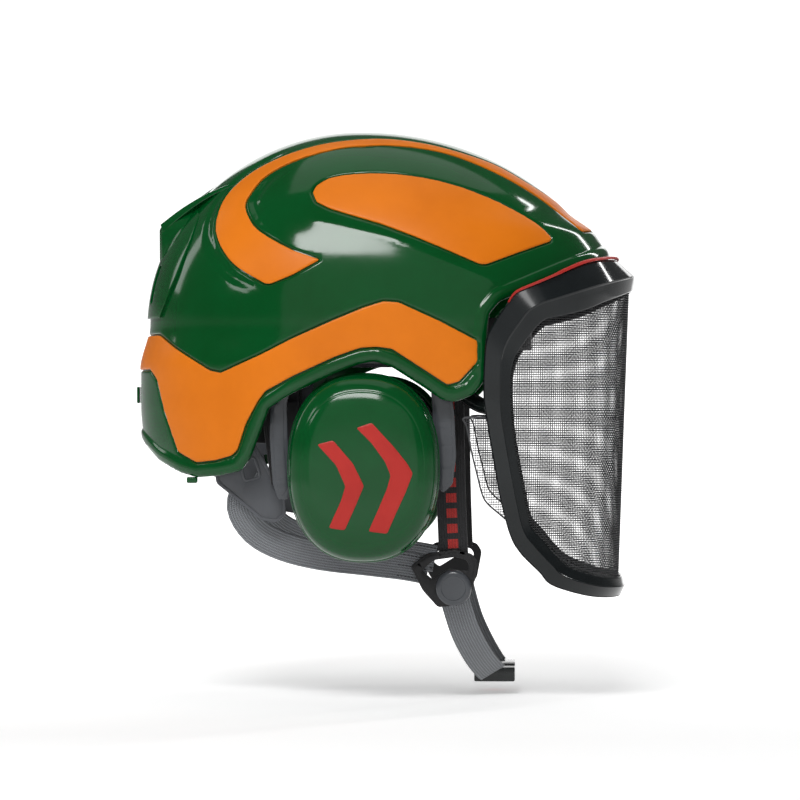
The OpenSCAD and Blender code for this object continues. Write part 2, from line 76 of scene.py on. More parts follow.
def run_along(points):
    """Distance along a line of points, at each point."""
    return np.r_[0, np.cumsum(np.linalg.norm(np.diff(points, axis=0), axis=1))]


def bump(v, middle, half):
    """1 at the middle, falling smoothly to 0 at middle - half and middle + half."""
    t = np.clip(np.abs(v - middle) / half, 0, 1)
    return (1 - t * t) ** 2


def curve(rows, steps):
    """Catmull-Rom curve through rows of numbers."""
    rows = np.asarray(rows, float)
    padded = np.vstack([rows[:1], rows, rows[-1:]])
    out = []
    for i in range(len(rows) - 1):
        a, b, c, d = padded[i : i + 4]
        for k in range(steps):
            s = k / steps
            bend = (2 * a - 5 * b + 4 * c - d) * s * s
            twist = (3 * b - a - 3 * c + d) * s**3
            out.append(0.5 * (2 * b + (c - a) * s + bend + twist))
    out.append(rows[-1])
    return np.array(out)


def oval(rx, ry, power=2.3, turns=96):
    a = np.arange(turns) * 2 * np.pi / turns
    return np.stack([rx * spow(np.cos(a), 2 / power), ry * spow(np.sin(a), 2 / power)], 1)


def wave(p, scale, seed=0.0):
    """Smooth irregular number between about -1 and 1 at each point."""
    x, y, z = (np.asarray(p) / scale).T
    return (
        np.sin(1.3 * x + 2.1 * y + seed)
        + np.sin(2.3 * y - 1.7 * z + 2 * seed)
        + np.sin(1.9 * z + 1.1 * x - seed)
    ) / 3


# ------------------------------------------------------------------ dome of the shell

CROWN, FRONT, REAR, HALF = 119.0, 152.0, 127.0, 105.0
BROW, WALL, MID, SQUARE = 6.5, 3.2, -2.0, 0.94
# Length of the dome's arc from the crown down to height 0
QUARTER_ARC = 186.9


def level(z, grow=0.0):
    """Reach ahead, reach behind and half width of the dome at a height."""
    share = np.where(z > 0, np.sqrt(np.clip(1 - (z / (CROWN + grow)) ** 2, 0, 1)), 1.0)
    ahead = (FRONT + grow) * share + BROW * ease(z, 70, 56)
    behind = (REAR + grow) * share + 5.5 * ease(z, 2, -24) - 4 * ease(z, -45, -88)
    side = (HALF + grow) * share + 2 * ease(z, 2, -24)
    return ahead, behind, side


def dome_at(a, z, grow=0.0):
    ahead, behind, side = level(z, grow)
    c, s = np.cos(a), np.sin(a)
    x = MID + np.where(c > 0, ahead, behind) * spow(c, SQUARE)
    return np.stack([x, side * spow(s, SQUARE), z], -1)


def to_map(a, z):
    """The dome laid out on a plane round its crown, with angles kept true."""
    theta = np.arccos(np.clip(z / CROWN, -1, 1))
    r = np.where(
        z > 0,
        2 * CROWN * np.tan(np.minimum(theta, np.pi / 2) / 2),
        2 * CROWN * np.exp(-z / CROWN),
    )
    return np.stack([r * np.cos(a), r * np.sin(a)], -1)


def from_map(q):
    r = np.hypot(q[..., 0], q[..., 1])
    z = np.where(
        r < 2 * CROWN,
        CROWN * np.cos(2 * np.arctan(r / (2 * CROWN))),
        -CROWN * np.log(np.maximum(r, 1e-9) / (2 * CROWN)),
    )
    return np.arctan2(q[..., 1], q[..., 0]), z


def dome(q, grow=0.0):
    a, z = from_map(q)
    return dome_at(a, z, grow)


def side_line(outline, side, near=0.0, step=0.05):
    """A side-view line of X and Z laid on one side of the dome, as map points."""
    p = np.asarray(outline, float)
    s = np.r_[0, np.cumsum(np.hypot(*np.diff(p, axis=0).T))]
    t = np.arange(0, s[-1], step)
    x, z = np.interp(t, s, p[:, 0]), np.interp(t, s, p[:, 1])
    ahead, behind, half = level(z)
    c = (x - MID) / np.where(x > MID, ahead, behind)
    seen = np.abs(c) <= 1 if near == 0 else np.ones(len(c), bool)
    a = np.arccos(spow(np.clip(c, -1, 1), 1 / SQUARE))
    least = np.arcsin((near / half) ** (1 / SQUARE)) if near else 0 * a
    a = np.clip(a, least, np.pi - least)
    return to_map(side * a, z)[seen]


def round_line(outline):
    """A line drawn on the right side and carried round the dome to the left side."""
    right, left = side_line(outline, -1), side_line(outline, 1)
    return np.vstack([right, left[::-1]])


# ------------------------------------------------------------------ sheets on a surface
# A surface is a function from points of a plane to points in space. The shell, its inlays
# and the rear cover lie on the dome, and the muff's chevrons on its cap.


def local(surface, q):
    """Normal and scale of a surface at points of its plane."""
    h = 0.05
    dx = (surface(q + [h, 0]) - surface(q - [h, 0])) / (2 * h)
    dy = (surface(q + [0, h]) - surface(q - [0, h])) / (2 * h)
    n = np.cross(dx, dy)
    return unit(n), np.sqrt(np.maximum(np.linalg.norm(n, axis=-1), 1e-9))


def is_left_turning(loop):
    x, y = loop.T
    return np.sum(x * np.roll(y, -1) - np.roll(x, -1) * y) > 0


def even(surface, q, gap):
    """A closed loop with its points evenly spaced."""
    q = np.vstack([q, q[:1]])
    s = run_along(surface(q))
    n = max(8, int(round(s[-1] / gap)))
    t = np.linspace(0, s[-1], n, endpoint=False)
    return np.stack([np.interp(t, s, q[:, k]) for k in (0, 1)], 1)


def softened(surface, loop, gap, radius):
    """An evenly spaced loop, turning left, with its corners rounded."""
    fine = even(surface, loop, 0.4)
    if radius:
        reach = int(radius / 0.4 * 2)
        weight = np.exp(-0.5 * (np.arange(-reach, reach + 1) * 0.4 / radius) ** 2)
        weight /= weight.sum()
        wrapped = np.vstack([fine[-reach:], fine, fine[:reach]])
        fine = np.stack(
            [np.convolve(wrapped[:, k], weight, "valid") for k in (0, 1)], 1
        )
    if not is_left_turning(fine):
        fine = fine[::-1]
    return even(surface, fine, gap)


def offset(surface, loop, distance):
    """The loop moved outwards by a distance in space."""
    _, scale = local(surface, loop)
    along = unit(np.roll(loop, -1, 0) - np.roll(loop, 1, 0))
    out = np.stack([along[:, 1], -along[:, 0]], 1)
    return loop + out * (distance / scale)[:, None]


def within(q, loop):
    x, y = q.T
    inside = np.zeros(len(q), bool)
    for (x1, y1), (x2, y2) in zip(loop, np.roll(loop, -1, 0)):
        if y1 != y2:
            inside ^= ((y1 > y) != (y2 > y)) & (
                x < (x2 - x1) * (y - y1) / (y2 - y1) + x1
            )
    return inside


def tree_of(points):
    tree = KDTree(len(points))
    for i, p in enumerate(points):
        tree.insert(p, i)
    tree.balance()
    return tree


def nearest(tree, points):
    return np.array([tree.find(p)[2] for p in points])


def distance_from(surface, q, loop):
    """Distance in space from a loop, negative inside it."""
    d = nearest(tree_of(surface(even(surface, loop, 0.35))), surface(q))
    return np.where(within(q, loop), -d, d)


def triangulated(q, loops):
    """Triangles over map points that keep the edges of the loops, given as index lists."""
    edges = [(i, j) for loop in loops for i, j in zip(loop, loop[1:] + loop[:1])]
    points, _, faces, origin, _, _ = geometry.delaunay_2d_cdt(
        [Vector(p) for p in q.tolist()], edges, [], 0, 1e-5
    )
    place = {old: new for new, olds in enumerate(origin) for old in olds}
    return np.array([tuple(p) for p in points]), np.array(faces), place


def fill_dome(gap):
    """Map points spread over the dome on level rings."""
    angles = np.arange(0.5, 90, 90 / (QUARTER_ARC / gap)) * math.pi / 180
    rings = [CROWN * math.cos(t) for t in angles]
    rings += list(np.arange(-gap / 2, -100, -gap))
    out = []
    for k, z in enumerate(rings):
        ahead, behind, side = level(np.array(z))
        n = max(6, int(np.pi * ((ahead + behind) / 2 + side) / gap))
        a = (np.arange(n) + 0.5 * (k % 2)) * 2 * np.pi / n
        out.append(to_map(a, np.full(n, z)))
    return np.vstack(out)


def fill_plane(loop, gap):
    low, high = loop.min(0), loop.max(0)
    rows = []
    for k, y in enumerate(np.arange(low[1], high[1], gap * 0.87)):
        x = np.arange(low[0] + (k % 2) * gap / 2, high[0], gap)
        rows.append(np.stack([x, np.full(len(x), y)], 1))
    return np.vstack(rows)


def spaced(surface, groups, fill, apart):
    """Rows of points, kept apart from the rows before them, then fill points.

    Each group is (points, fixed): a fixed group keeps all its points and its edges."""
    kept, loops = [], []
    for points, fixed in groups:
        if not fixed and kept:
            away = nearest(tree_of(surface(np.vstack(kept))), surface(points)) > 0.45
            points = points[away]
        start = sum(len(k) for k in kept)
        if fixed:
            loops.append(list(range(start, start + len(points))))
        kept.append(points)
    away = nearest(tree_of(surface(np.vstack(kept))), surface(fill)) > apart
    return np.vstack(kept + [fill[away]]), loops


def inlay(surface, loop, top, bottom, fill, gap, holes=(), edge=0.45):
    """A closed plate lying on a surface inside a loop, with rounded upper edges.

    top is the plate's height, or a function of the points that gives it."""
    groups = [(loop, True)] + [(hole, True) for hole in holes]
    for inset in (0.25, 0.6, 1.3):
        groups.append((offset(surface, loop, -inset), False))
        groups += [(offset(surface, hole, inset), False) for hole in holes]
    fill = fill[within(fill, loop)]
    q, loops = spaced(surface, groups, fill, gap * 0.6)
    q, faces, place = triangulated(q, loops)
    middle = q[faces].mean(1)
    keep = within(middle, loop)
    for hole in holes:
        keep &= ~within(middle, hole)
    faces = faces[keep]
    depth = -distance_from(surface, q, loop)
    for hole in holes:
        depth = np.minimum(depth, distance_from(surface, q, hole))
    normal, _ = local(surface, q)
    base = surface(q)
    high = top(base) if callable(top) else top
    lift = high - edge * np.interp(depth, [0, 0.25, 0.6, 1.3], [1, 0.35, 0.08, 0])
    points = np.vstack([base + normal * lift[:, None], base + normal * bottom])
    n = len(q)
    out = [tuple(f) for f in faces] + [(f[2] + n, f[1] + n, f[0] + n) for f in faces]
    for k, ring in enumerate(loops):
        ring = [place[i] for i in ring]
        for a, b in zip(ring, ring[1:] + ring[:1]):
            out.append((a, a + n, b + n, b) if k == 0 else (b, b + n, a + n, a))
    return points, out


# ------------------------------------------------------------------ solids


def loft(rings, closed=False, caps=True):
    """Solid through rings of points; each ring turns left as seen from its end."""
    rings = [np.asarray(r, float) for r in rings]
    n, m = len(rings[0]), len(rings)
    faces = []
    for i in range(m if closed else m - 1):
        for k in range(n):
            a, b = i * n + k, i * n + (k + 1) % n
            c, d = (i + 1) % m * n + k, (i + 1) % m * n + (k + 1) % n
            faces.append((a, b, d, c))
    if caps and not closed:
        faces.append(tuple(range(n))[::-1])
        faces.append(tuple((m - 1) * n + k for k in range(n)))
    return np.vstack(rings), faces


def joined(parts):
    """Several (points, faces) as one."""
    points, faces, start = [], [], 0
    for p, f in parts:
        points.append(np.asarray(p, float))
        faces += [tuple(i + start for i in face) for face in f]
        start += len(p)
    return np.vstack(points), faces


def flipped(shape, side):
    """The wearer's left side mirrors the right."""
    points, faces = shape
    if side > 0:
        return points, faces
    return np.asarray(points) * [1, -1, 1], [tuple(f[::-1]) for f in faces]


def directions(points):
    points = np.asarray(points, float)
    ahead = np.empty_like(points)
    ahead[1:-1] = points[2:] - points[:-2]
    ahead[0], ahead[-1] = points[1] - points[0], points[-1] - points[-2]
    return unit(ahead)


def rod(points, radius, turns=16, up=(0.0, 0.0, 1.0)):
    """Round bar along points; the radius is one number or one for each point."""
    points = np.asarray(points, float)
    ahead = directions(points)
    side = unit(np.cross(ahead, np.asarray(up, float)))
    over = np.cross(side, ahead)
    radius = np.broadcast_to(radius, len(points))
    a = np.arange(turns) * 2 * np.pi / turns
    rings = [
        p + r * (np.cos(a)[:, None] * s - np.sin(a)[:, None] * o)
        for p, r, s, o in zip(points, radius, side, over)
    ]
    return loft(rings)


def lathe(profile, x, z, turns=48):
    """Solid of revolution about a line along Y: profile rows are (Y, radius)."""
    a = np.arange(turns) * 2 * np.pi / turns
    return loft([
        np.stack([x + radius * np.sin(a), np.full(turns, y), z + radius * np.cos(a)], 1)
        for y, radius in profile
    ])


def plane(q):
    """The side-view plane as a surface that looks to the wearer's right."""
    return np.stack([q[..., 0], 0 * q[..., 0], q[..., 1]], -1)


def rounded(outline, gap=1.0, radius=1.0):
    return softened(plane, np.asarray(outline, float), gap, radius)


def slab(loop, near, far, bevel, holes=()):
    """Plate in side view between two distances to the wearer's right, with soft edges."""
    parts, faces, start = [], [], 0
    stack = [
        (near, bevel), (near + bevel, 0), (far - bevel, 0),
        (far - bevel * 0.3, bevel * 0.3), (far, bevel),
    ]
    rows = {}
    for h, ring in enumerate((loop,) + tuple(holes)):
        sign = -1 if h == 0 else 1
        for k, (y, inset) in enumerate(stack):
            q = offset(plane, ring, sign * inset) if inset else ring
            parts.append(np.stack([q[:, 0], np.full(len(q), -y), q[:, 1]], 1))
            rows[h, k] = list(range(start, start + len(q)))
            start += len(q)
    for (h, k), row in rows.items():
        if k == len(stack) - 1:
            continue
        above = rows[h, k + 1]
        for i in range(len(row)):
            j = (i + 1) % len(row)
            quad = (row[i], row[j], above[j], above[i])
            faces.append(quad if h == 0 else quad[::-1])
    points = np.vstack(parts)
    for k, top in ((0, False), (len(stack) - 1, True)):
        index = [i for h in range(1 + len(holes)) for i in rows[h, k]]
        q = points[index][:, [0, 2]]
        loops, at = [], 0
        for h in range(1 + len(holes)):
            loops.append(list(range(at, at + len(rows[h, k]))))
            at += len(rows[h, k])
        flat, tris, place = triangulated(q, loops)
        back = {new: index[old] for old, new in place.items()}
        middle = flat[tris].mean(1)
        keep = within(middle, q[loops[0]])
        for ring in loops[1:]:
            keep &= ~within(middle, q[ring])
        for f in tris[keep]:
            f = tuple(back[i] for i in f)
            faces.append(f if top else f[::-1])
    return points, faces


def ribbon(points, across=None, facing=None, width=17.0, thick=1.4, steps=4):
    """Flat webbing with thickened selvages. Returns the shape and its weave coordinates."""
    points = curve(points, steps)
    ahead = directions(points)
    if facing is not None:
        side = unit(np.cross(np.asarray(facing, float), ahead))
    else:
        across = np.asarray(across, float)
        side = unit(across - (ahead @ across)[:, None] * ahead)
    out = np.cross(ahead, side)
    half, t = width / 2, thick / 2
    selvage = [
        (half, 0), (half - 0.25, t * 0.8), (half - 0.8, t), (half - 1.5, t * 0.82),
        (half / 3, t * 0.86),
    ]
    upper = [(-u, v) for u, v in selvage] + selvage[::-1]
    section = upper + [(u, -v) for u, v in upper[-2:0:-1]]
    run = run_along(points)
    rings = [
        np.array([p + s * u + o * v for u, v in section])
        for p, s, o in zip(points, side, out)
    ]
    weave = np.array([(u, r) for r in run for u, _ in section])
    shape = loft([r[::-1] for r in rings])
    weave = weave.reshape(len(run), len(section), 2)[:, ::-1].reshape(-1, 2)
    return shape, weave


# ------------------------------------------------------------------ making pieces


def smooth_by_angle(mesh, angle):
    mesh.polygons.foreach_set("use_smooth", [True] * len(mesh.polygons))
    mesh.set_sharp_from_angle(angle=math.radians(angle))


def face_outwards(mesh):
    work = bmesh.new()
    work.from_mesh(mesh)
    bmesh.ops.recalc_face_normals(work, faces=work.faces)
    work.to_mesh(mesh)
    work.free()


def piece(name, shape, body, slot, material, stands_for=(), sharp=38, weave=None):
    """A mesh piece in place, riding on a body and standing for CAD nodes."""
    points, faces = shape
    mesh = bpy.data.meshes.new(name)
    mesh.from_pydata(
        (np.asarray(points) * MM).tolist(), [], [tuple(int(i) for i in f) for f in faces]
    )
    face_outwards(mesh)
    if weave is not None:
        layer = mesh.uv_layers.new(name="weave")
        index = np.zeros(len(mesh.loops), int)
        mesh.loops.foreach_get("vertex_index", index)
        layer.data.foreach_set("uv", np.asarray(weave)[index].astype(np.float32).ravel())
    smooth_by_angle(mesh, sharp)
    mesh.materials.append(material)
    obj = bpy.data.objects.new(name, mesh)
    bpy.context.scene.collection.objects.link(obj)
    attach(obj, body)
    if stands_for:
        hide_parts(*stands_for)
    return obj


def softened_copy(node, material, width):
    """A piece made from a CAD node's form with its edges rounded over."""
    mesh = frame["nodes"][node].data.copy()
    mesh.name = node + "_soft"
    work = bmesh.new()
    work.from_mesh(mesh)
    bmesh.ops.remove_doubles(work, verts=work.verts, dist=2e-6)
    bmesh.ops.dissolve_limit(
        work, angle_limit=math.radians(0.6), verts=work.verts, edges=work.edges
    )
    edges = [
        e for e in work.edges if e.is_manifold and e.calc_face_angle(0) > math.radians(28)
    ]
    bmesh.ops.bevel(
        work, geom=edges, offset=width * MM, segments=3, profile=0.5,
        affect="EDGES", clamp_overlap=True,
    )
    bmesh.ops.recalc_face_normals(work, faces=work.faces)
    work.to_mesh(mesh)
    work.free()
    smooth_by_angle(mesh, 32)
    mesh.materials.clear()
    mesh.materials.append(material)
    obj = bpy.data.objects.new(mesh.name, mesh)
    bpy.context.scene.collection.objects.link(obj)
    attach(obj, BODY_OF[node])
    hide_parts(node)
    return obj

# ------------------------------------------------------------------ materials


def graph(name):
    material = bpy.data.materials.new(name)
    material.use_nodes = True
    nodes, links = material.node_tree.nodes, material.node_tree.links
    shader = nodes["Principled BSDF"]
    place = nodes.new("ShaderNodeTexCoord")
    return material, nodes, links, shader, place.outputs["Object"]


def noise(nodes, links, place, scale, detail=3.0, rough=0.5):
    node = nodes.new("ShaderNodeTexNoise")
    node.inputs["Scale"].default_value = scale
    node.inputs["Detail"].default_value = detail
    node.inputs["Roughness"].default_value = rough
    links.new(place, node.inputs["Vector"])
    return node.outputs["Fac"]


def ramp(nodes, links, value, stops):
    node = nodes.new("ShaderNodeValToRGB")
    elements = node.color_ramp.elements
    while len(elements) < len(stops):
        elements.new(0.5)
    for element, (at, colour) in zip(elements, stops):
        element.position = at
        element.color = (*colour, 1.0)
    links.new(value, node.inputs["Fac"])
    return node.outputs["Color"]


def spread(nodes, links, value, low, high, start=0.3, end=0.7):
    node = nodes.new("ShaderNodeMapRange")
    for key, v in (("From Min", start), ("From Max", end), ("To Min", low), ("To Max", high)):
        node.inputs[key].default_value = v
    links.new(value, node.inputs["Value"])
    return node.outputs["Result"]


def maths(nodes, links, kind, a, b=None, c=None):
    node = nodes.new("ShaderNodeMath")
    node.operation = kind
    for socket, value in zip(node.inputs, (a, b, c)):
        if value is None:
            continue
        if isinstance(value, (int, float)):
            socket.default_value = value
        else:
            links.new(value, socket)
    return node.outputs[0]


def drifting(nodes, links, shader, value, dark, light):
    """Base colour that drifts from dark to light with a value."""
    tone = ramp(nodes, links, value, [(0.3, dark), (0.7, light)])
    links.new(tone, shader.inputs["Base Color"])


def bumps(nodes, links, shader, layers):
    """Bump layers: (height, strength, distance in mm)."""
    normal = None
    for height, strength, distance in layers:
        node = nodes.new("ShaderNodeBump")
        node.inputs["Strength"].default_value = strength
        node.inputs["Distance"].default_value = distance * MM
        links.new(height, node.inputs["Height"])
        if normal:
            links.new(normal, node.inputs["Normal"])
        normal = node.outputs["Normal"]
    links.new(normal, shader.inputs["Normal"])


def moulded(name, dark, light, rough, grain, depth, specular=0.5, metal=0.0):
    """Moulded or painted plastic: slow colour drift, fine grain and uneven gloss."""
    material, nodes, links, shader, place = graph(name)
    drift = noise(nodes, links, place, 22.0, 4.0, 0.6)
    drifting(nodes, links, shader, drift, dark, light)
    scuff = noise(nodes, links, place, 140.0, 8.0, 0.7)
    links.new(spread(nodes, links, scuff, rough[0], rough[1]), shader.inputs["Roughness"])
    fine = noise(nodes, links, place, grain, 2.0, 0.4)
    bumps(nodes, links, shader, [(fine, 0.5, depth)])
    shader.inputs["Specular IOR Level"].default_value = specular
    shader.inputs["Metallic"].default_value = metal
    return material


def foam(name, dark, light, cell=420.0, depth=0.25):
    """Closed-cell foam: packed beads with painted shade, darker at the seams between them and
    lighter at each bead's middle.
    """
    material, nodes, links, shader, place = graph(name)
    beads = nodes.new("ShaderNodeTexVoronoi")
    beads.inputs["Scale"].default_value = cell
    links.new(place, beads.inputs["Vector"])
    distance = beads.outputs["Distance"]
    # Painted shade: each bead is lighter at its middle and darker towards the seams around it
    tone = ramp(nodes, links, distance, [(0.0, light), (0.75, dark)])
    links.new(tone, shader.inputs["Base Color"])
    rough = noise(nodes, links, place, 300.0)
    links.new(spread(nodes, links, rough, 0.75, 0.92), shader.inputs["Roughness"])
    height = maths(nodes, links, "SUBTRACT", 1.0, distance)
    bumps(nodes, links, shader, [(height, 0.6, depth)])
    shader.inputs["Specular IOR Level"].default_value = 0.3
    return material


def leather(name, dark, light, rough=(0.38, 0.52), scale=520.0):
    """Soft covering film with a pebbled grain and fine creases."""
    material, nodes, links, shader, place = graph(name)
    pebble = nodes.new("ShaderNodeTexVoronoi")
    pebble.feature = "SMOOTH_F1"
    pebble.inputs["Scale"].default_value = scale
    links.new(place, pebble.inputs["Vector"])
    crease = noise(nodes, links, place, 60.0, 6.0, 0.65)
    drifting(nodes, links, shader, crease, dark, light)
    links.new(spread(nodes, links, crease, rough[0], rough[1]), shader.inputs["Roughness"])
    layers = [(pebble.outputs["Distance"], 0.45, 0.15), (crease, 0.35, 0.5)]
    bumps(nodes, links, shader, layers)
    return material


# Pitch of the webbing's ribs and of its cross threads
RIB, PICK = 1.5, 0.95


def woven(name, dark, light, dash=None):
    """Webbing woven across and along its weave coordinates, which are millimetres, with painted
    shade: darker in the weave's hollows and lighter on the thread tops.

    dash, if given, is (colour, half width, pitch, share) of a woven-in row of dashes."""
    material, nodes, links, shader, _ = graph(name)
    weave = nodes.new("ShaderNodeUVMap")
    weave.uv_map = "weave"
    split = nodes.new("ShaderNodeSeparateXYZ")
    links.new(weave.outputs["UV"], split.inputs["Vector"])
    u, v = split.outputs["X"], split.outputs["Y"]

    def calc(kind, *values):
        return maths(nodes, links, kind, *values)

    across = calc("SINE", calc("MULTIPLY", u, 2 * math.pi / RIB))
    slant = calc("MULTIPLY", calc("ABSOLUTE", calc("PINGPONG", u, RIB)), 0.55)
    turned = calc("MULTIPLY", calc("ADD", v, slant), 2 * math.pi / PICK)
    along = calc("SINE", turned)
    height = calc("MULTIPLY_ADD", along, 0.5, calc("MULTIPLY", across, 0.5))
    tone = spread(nodes, links, height, 0.0, 1.0, -1.0, 1.0)
    # Painted shade: the colour follows the weave height, darker in the hollows and lighter on
    # the thread tops
    colour = ramp(nodes, links, tone, [(0.1, dark), (0.9, light)])
    if dash:
        dyed, half, pitch, share = dash
        row = calc("LESS_THAN", calc("ABSOLUTE", u), half)
        step = calc("LESS_THAN", calc("FRACT", calc("DIVIDE", v, pitch)), share)
        mask = calc("MULTIPLY", row, step)
        mix = nodes.new("ShaderNodeMix")
        mix.data_type = "RGBA"
        links.new(mask, mix.inputs[0])
        links.new(colour, mix.inputs[6])
        # The dashes get the same painted shade, darker in the weave's hollows
        shade = tuple(0.55 * c for c in dyed)
        links.new(ramp(nodes, links, tone, [(0.1, shade), (0.9, dyed)]), mix.inputs[7])
        colour = mix.outputs[2]
    links.new(colour, shader.inputs["Base Color"])
    links.new(spread(nodes, links, tone, 0.62, 0.85, 0.0, 1.0), shader.inputs["Roughness"])
    bumps(nodes, links, shader, [(height, 0.8, 0.22)])
    shader.inputs["Sheen Weight"].default_value = 0.2
    shader.inputs["Specular IOR Level"].default_value = 0.35
    return material


def metal(name, dark, light):
    """Drawn or turned metal with fine streaks."""
    material, nodes, links, shader, place = graph(name)
    stretch = nodes.new("ShaderNodeMapping")
    stretch.inputs["Scale"].default_value = (0.15, 1.0, 1.0)
    links.new(place, stretch.inputs["Vector"])
    streak = noise(nodes, links, stretch.outputs["Vector"], 780.0, 6.0, 0.7)
    drifting(nodes, links, shader, streak, dark, light)
    links.new(spread(nodes, links, streak, 0.25, 0.4), shader.inputs["Roughness"])
    bumps(nodes, links, shader, [(streak, 0.2, 0.03)])
    shader.inputs["Metallic"].default_value = 1.0
    return material


# Each plastic: dark and light tone, roughness range, grain scale, grain depth in mm
GREEN = moulded(
    "shell_green", (0.0, 0.05, 0.008), (0.0, 0.062, 0.012), (0.08, 0.13), 300.0, 0.0008,
    specular=0.34,
)
CAP_GREEN = moulded(
    "cap_green", (0.0, 0.052, 0.009), (0.0, 0.066, 0.013), (0.1, 0.16), 300.0, 0.001,
    specular=0.34,
)
ORANGE = moulded(
    "inlay_orange", (0.6, 0.145, 0.003), (0.67, 0.168, 0.005), (0.34, 0.44), 1400.0, 0.012,
    specular=0.2,
)
RED = moulded(
    "signal_red", (0.36, 0.02, 0.016), (0.45, 0.028, 0.022), (0.36, 0.46), 1500.0, 0.012,
    specular=0.22,
)
BLACK = moulded(
    "black_plastic", (0.007, 0.007, 0.008), (0.012, 0.012, 0.013), (0.4, 0.52), 1600.0, 0.03,
    specular=0.35,
)
GLOSS = moulded(
    "gloss_black", (0.005, 0.007, 0.007), (0.009, 0.011, 0.011), (0.1, 0.17), 900.0, 0.005,
    specular=0.45,
)
FRAME_BLACK = moulded(
    "visor_black", (0.005, 0.0065, 0.007), (0.008, 0.01, 0.011), (0.08, 0.13), 900.0, 0.004,
    specular=0.35,
)
GREY = moulded(
    "grey_plastic", (0.06, 0.064, 0.072), (0.085, 0.09, 0.1), (0.3, 0.42), 1500.0, 0.02,
    specular=0.4,
)
GREY_GLOSS = moulded(
    "grey_gloss", (0.045, 0.049, 0.056), (0.062, 0.067, 0.075), (0.18, 0.28), 1100.0, 0.008,
)
WIRE = moulded(
    "mesh_wire", (0.035, 0.036, 0.038), (0.065, 0.066, 0.07), (0.35, 0.5), 2500.0, 0.01,
    metal=0.3,
)
THREAD = moulded(
    "thread", (0.02, 0.02, 0.021), (0.05, 0.05, 0.052), (0.6, 0.8), 3000.0, 0.05
)
LINER_FOAM = foam("liner_foam", (0.012, 0.012, 0.013), (0.035, 0.035, 0.037))
SOFT_FOAM = foam("soft_foam", (0.02, 0.021, 0.023), (0.05, 0.052, 0.056), 1500.0, 0.08)
CUSHION = leather("cushion_film", (0.009, 0.009, 0.0095), (0.017, 0.017, 0.018))
PAD_CLOTH = leather(
    "pad_cloth", (0.02, 0.021, 0.023), (0.04, 0.042, 0.045), (0.6, 0.8), 900.0
)
STEEL = metal("steel", (0.42, 0.42, 0.43), (0.6, 0.6, 0.61))
WEB_TONES = (0.006, 0.006, 0.0065), (0.024, 0.024, 0.026)
WEB_BLACK = woven("web_black", *WEB_TONES)
WEB_DASHED = woven("web_dashed", *WEB_TONES, ((0.5, 0.03, 0.025), 3.0, 9.0, 0.6))
WEB_GREY = woven("web_grey", (0.085, 0.09, 0.097), (0.25, 0.262, 0.28))

# ------------------------------------------------------------------ outlines in side view

RIM = [
    [165, 50], [146, 43], [98, 22], [82, 15], [75.5, 7], [74, -8], [73.8, -30],
    [67, -38.5], [57, -42.5], [50, -41.5], [39, -34], [21, -22.5], [11, -19.2], [2, -21],
    [-12, -26.5], [-37, -38], [-50, -46], [-54.5, -57.5], [-61.5, -75], [-67, -82],
    [-79, -84.7], [-93, -86], [-104, -83.5], [-118, -77], [-130, -67], [-150, -58],
]
BAND = [
    [-150, -4], [-118.5, -4], [-107, -12], [-85, -25], [-78, -26.5], [-54, -16],
    [-36, -7], [-12, 3.5], [5, 10.5], [16, 14], [24.5, 13.5], [48, 2.8], [69.5, -8.5],
    [69.5, -20], [59, -31.5], [52.5, -33.4], [21, -12.9], [12, -11.8], [3, -12.4],
    [-11.5, -17.5], [-36, -28.6], [-51.5, -37], [-56, -43], [-63, -55.5], [-68, -70.5],
    [-71.5, -73.8], [-81, -76.5], [-93, -78], [-105, -72], [-114, -48], [-119, -30],
    [-124, -24], [-150, -24],
]
SWOOSH = np.vstack([
    curve([[139, 59.5], [132, 66], [113, 77], [97, 86.5], [78, 97], [55, 104.7],
           [36, 109.3], [17, 111.7], [0, 111.5], [-20, 109], [-37, 104.5], [-52, 98.5],
           [-65, 91], [-75.5, 81.5], [-81.5, 71.5], [-83.5, 59.5], [-82, 52.5],
           [-78, 44.5], [-69, 34.5], [-52, 24.5]], 4),
    [[-49, 24.3], [-36, 29.5], [-20.5, 38]],
    curve([[-36, 43.5], [-50, 51], [-59.5, 58], [-64.5, 66], [-66, 72], [-63.5, 78],
           [-57, 87], [-47, 94], [-32, 100.5], [-11, 106], [4, 107.3], [17, 107.7],
           [36, 106], [55, 101.7], [78, 92.3], [97, 82], [112, 71.8], [130, 57.3]], 4),
])
WING = np.vstack([
    curve([[-26, 77.5], [-23, 82.5], [-14, 87], [2, 89], [21.5, 88.7], [41, 86],
           [60, 81], [79, 73.5], [92, 67], [104, 59.5], [112, 52]], 4),
    [[111, 50], [74, 35.5], [70, 36], [52, 43.8], [33, 51.7], [14, 58.9], [-5.5, 64.8],
     [-15.5, 68], [-23.5, 72]],
])
COVER = [
    [-95, 66], [-99, 50], [-106, 30], [-117, 6], [-134, 6], [-134, 60], [-122, 70]
]


def closed_line(outline, side):
    outline = np.asarray(outline, float)
    return side_line(np.vstack([outline, outline[:1]]), side, near=6.2)


rim = softened(dome, round_line(RIM), 1.5, 1.6)
band = softened(dome, round_line(BAND), 1.1, 0.9)
swoosh = {s: softened(dome, closed_line(SWOOSH, -k), 1.1, 0.8) for s, k in SIDES.items()}
wing = {s: softened(dome, closed_line(WING, -k), 1.1, 1.0) for s, k in SIDES.items()}
recesses = [band, *swoosh.values(), *wing.values()]

# ------------------------------------------------------------------ outer shell

# Width and height of the bead along the rim
BEAD, BEAD_RISE = 7.2, 1.25
# Groove round each inlay: distance from the inlay's edge, and lift of the surface
GROOVE = ([-0.6, 0.7, 1.05, 1.6, 2.4], [-1.05, -1.05, -0.3, -0.05, 0])
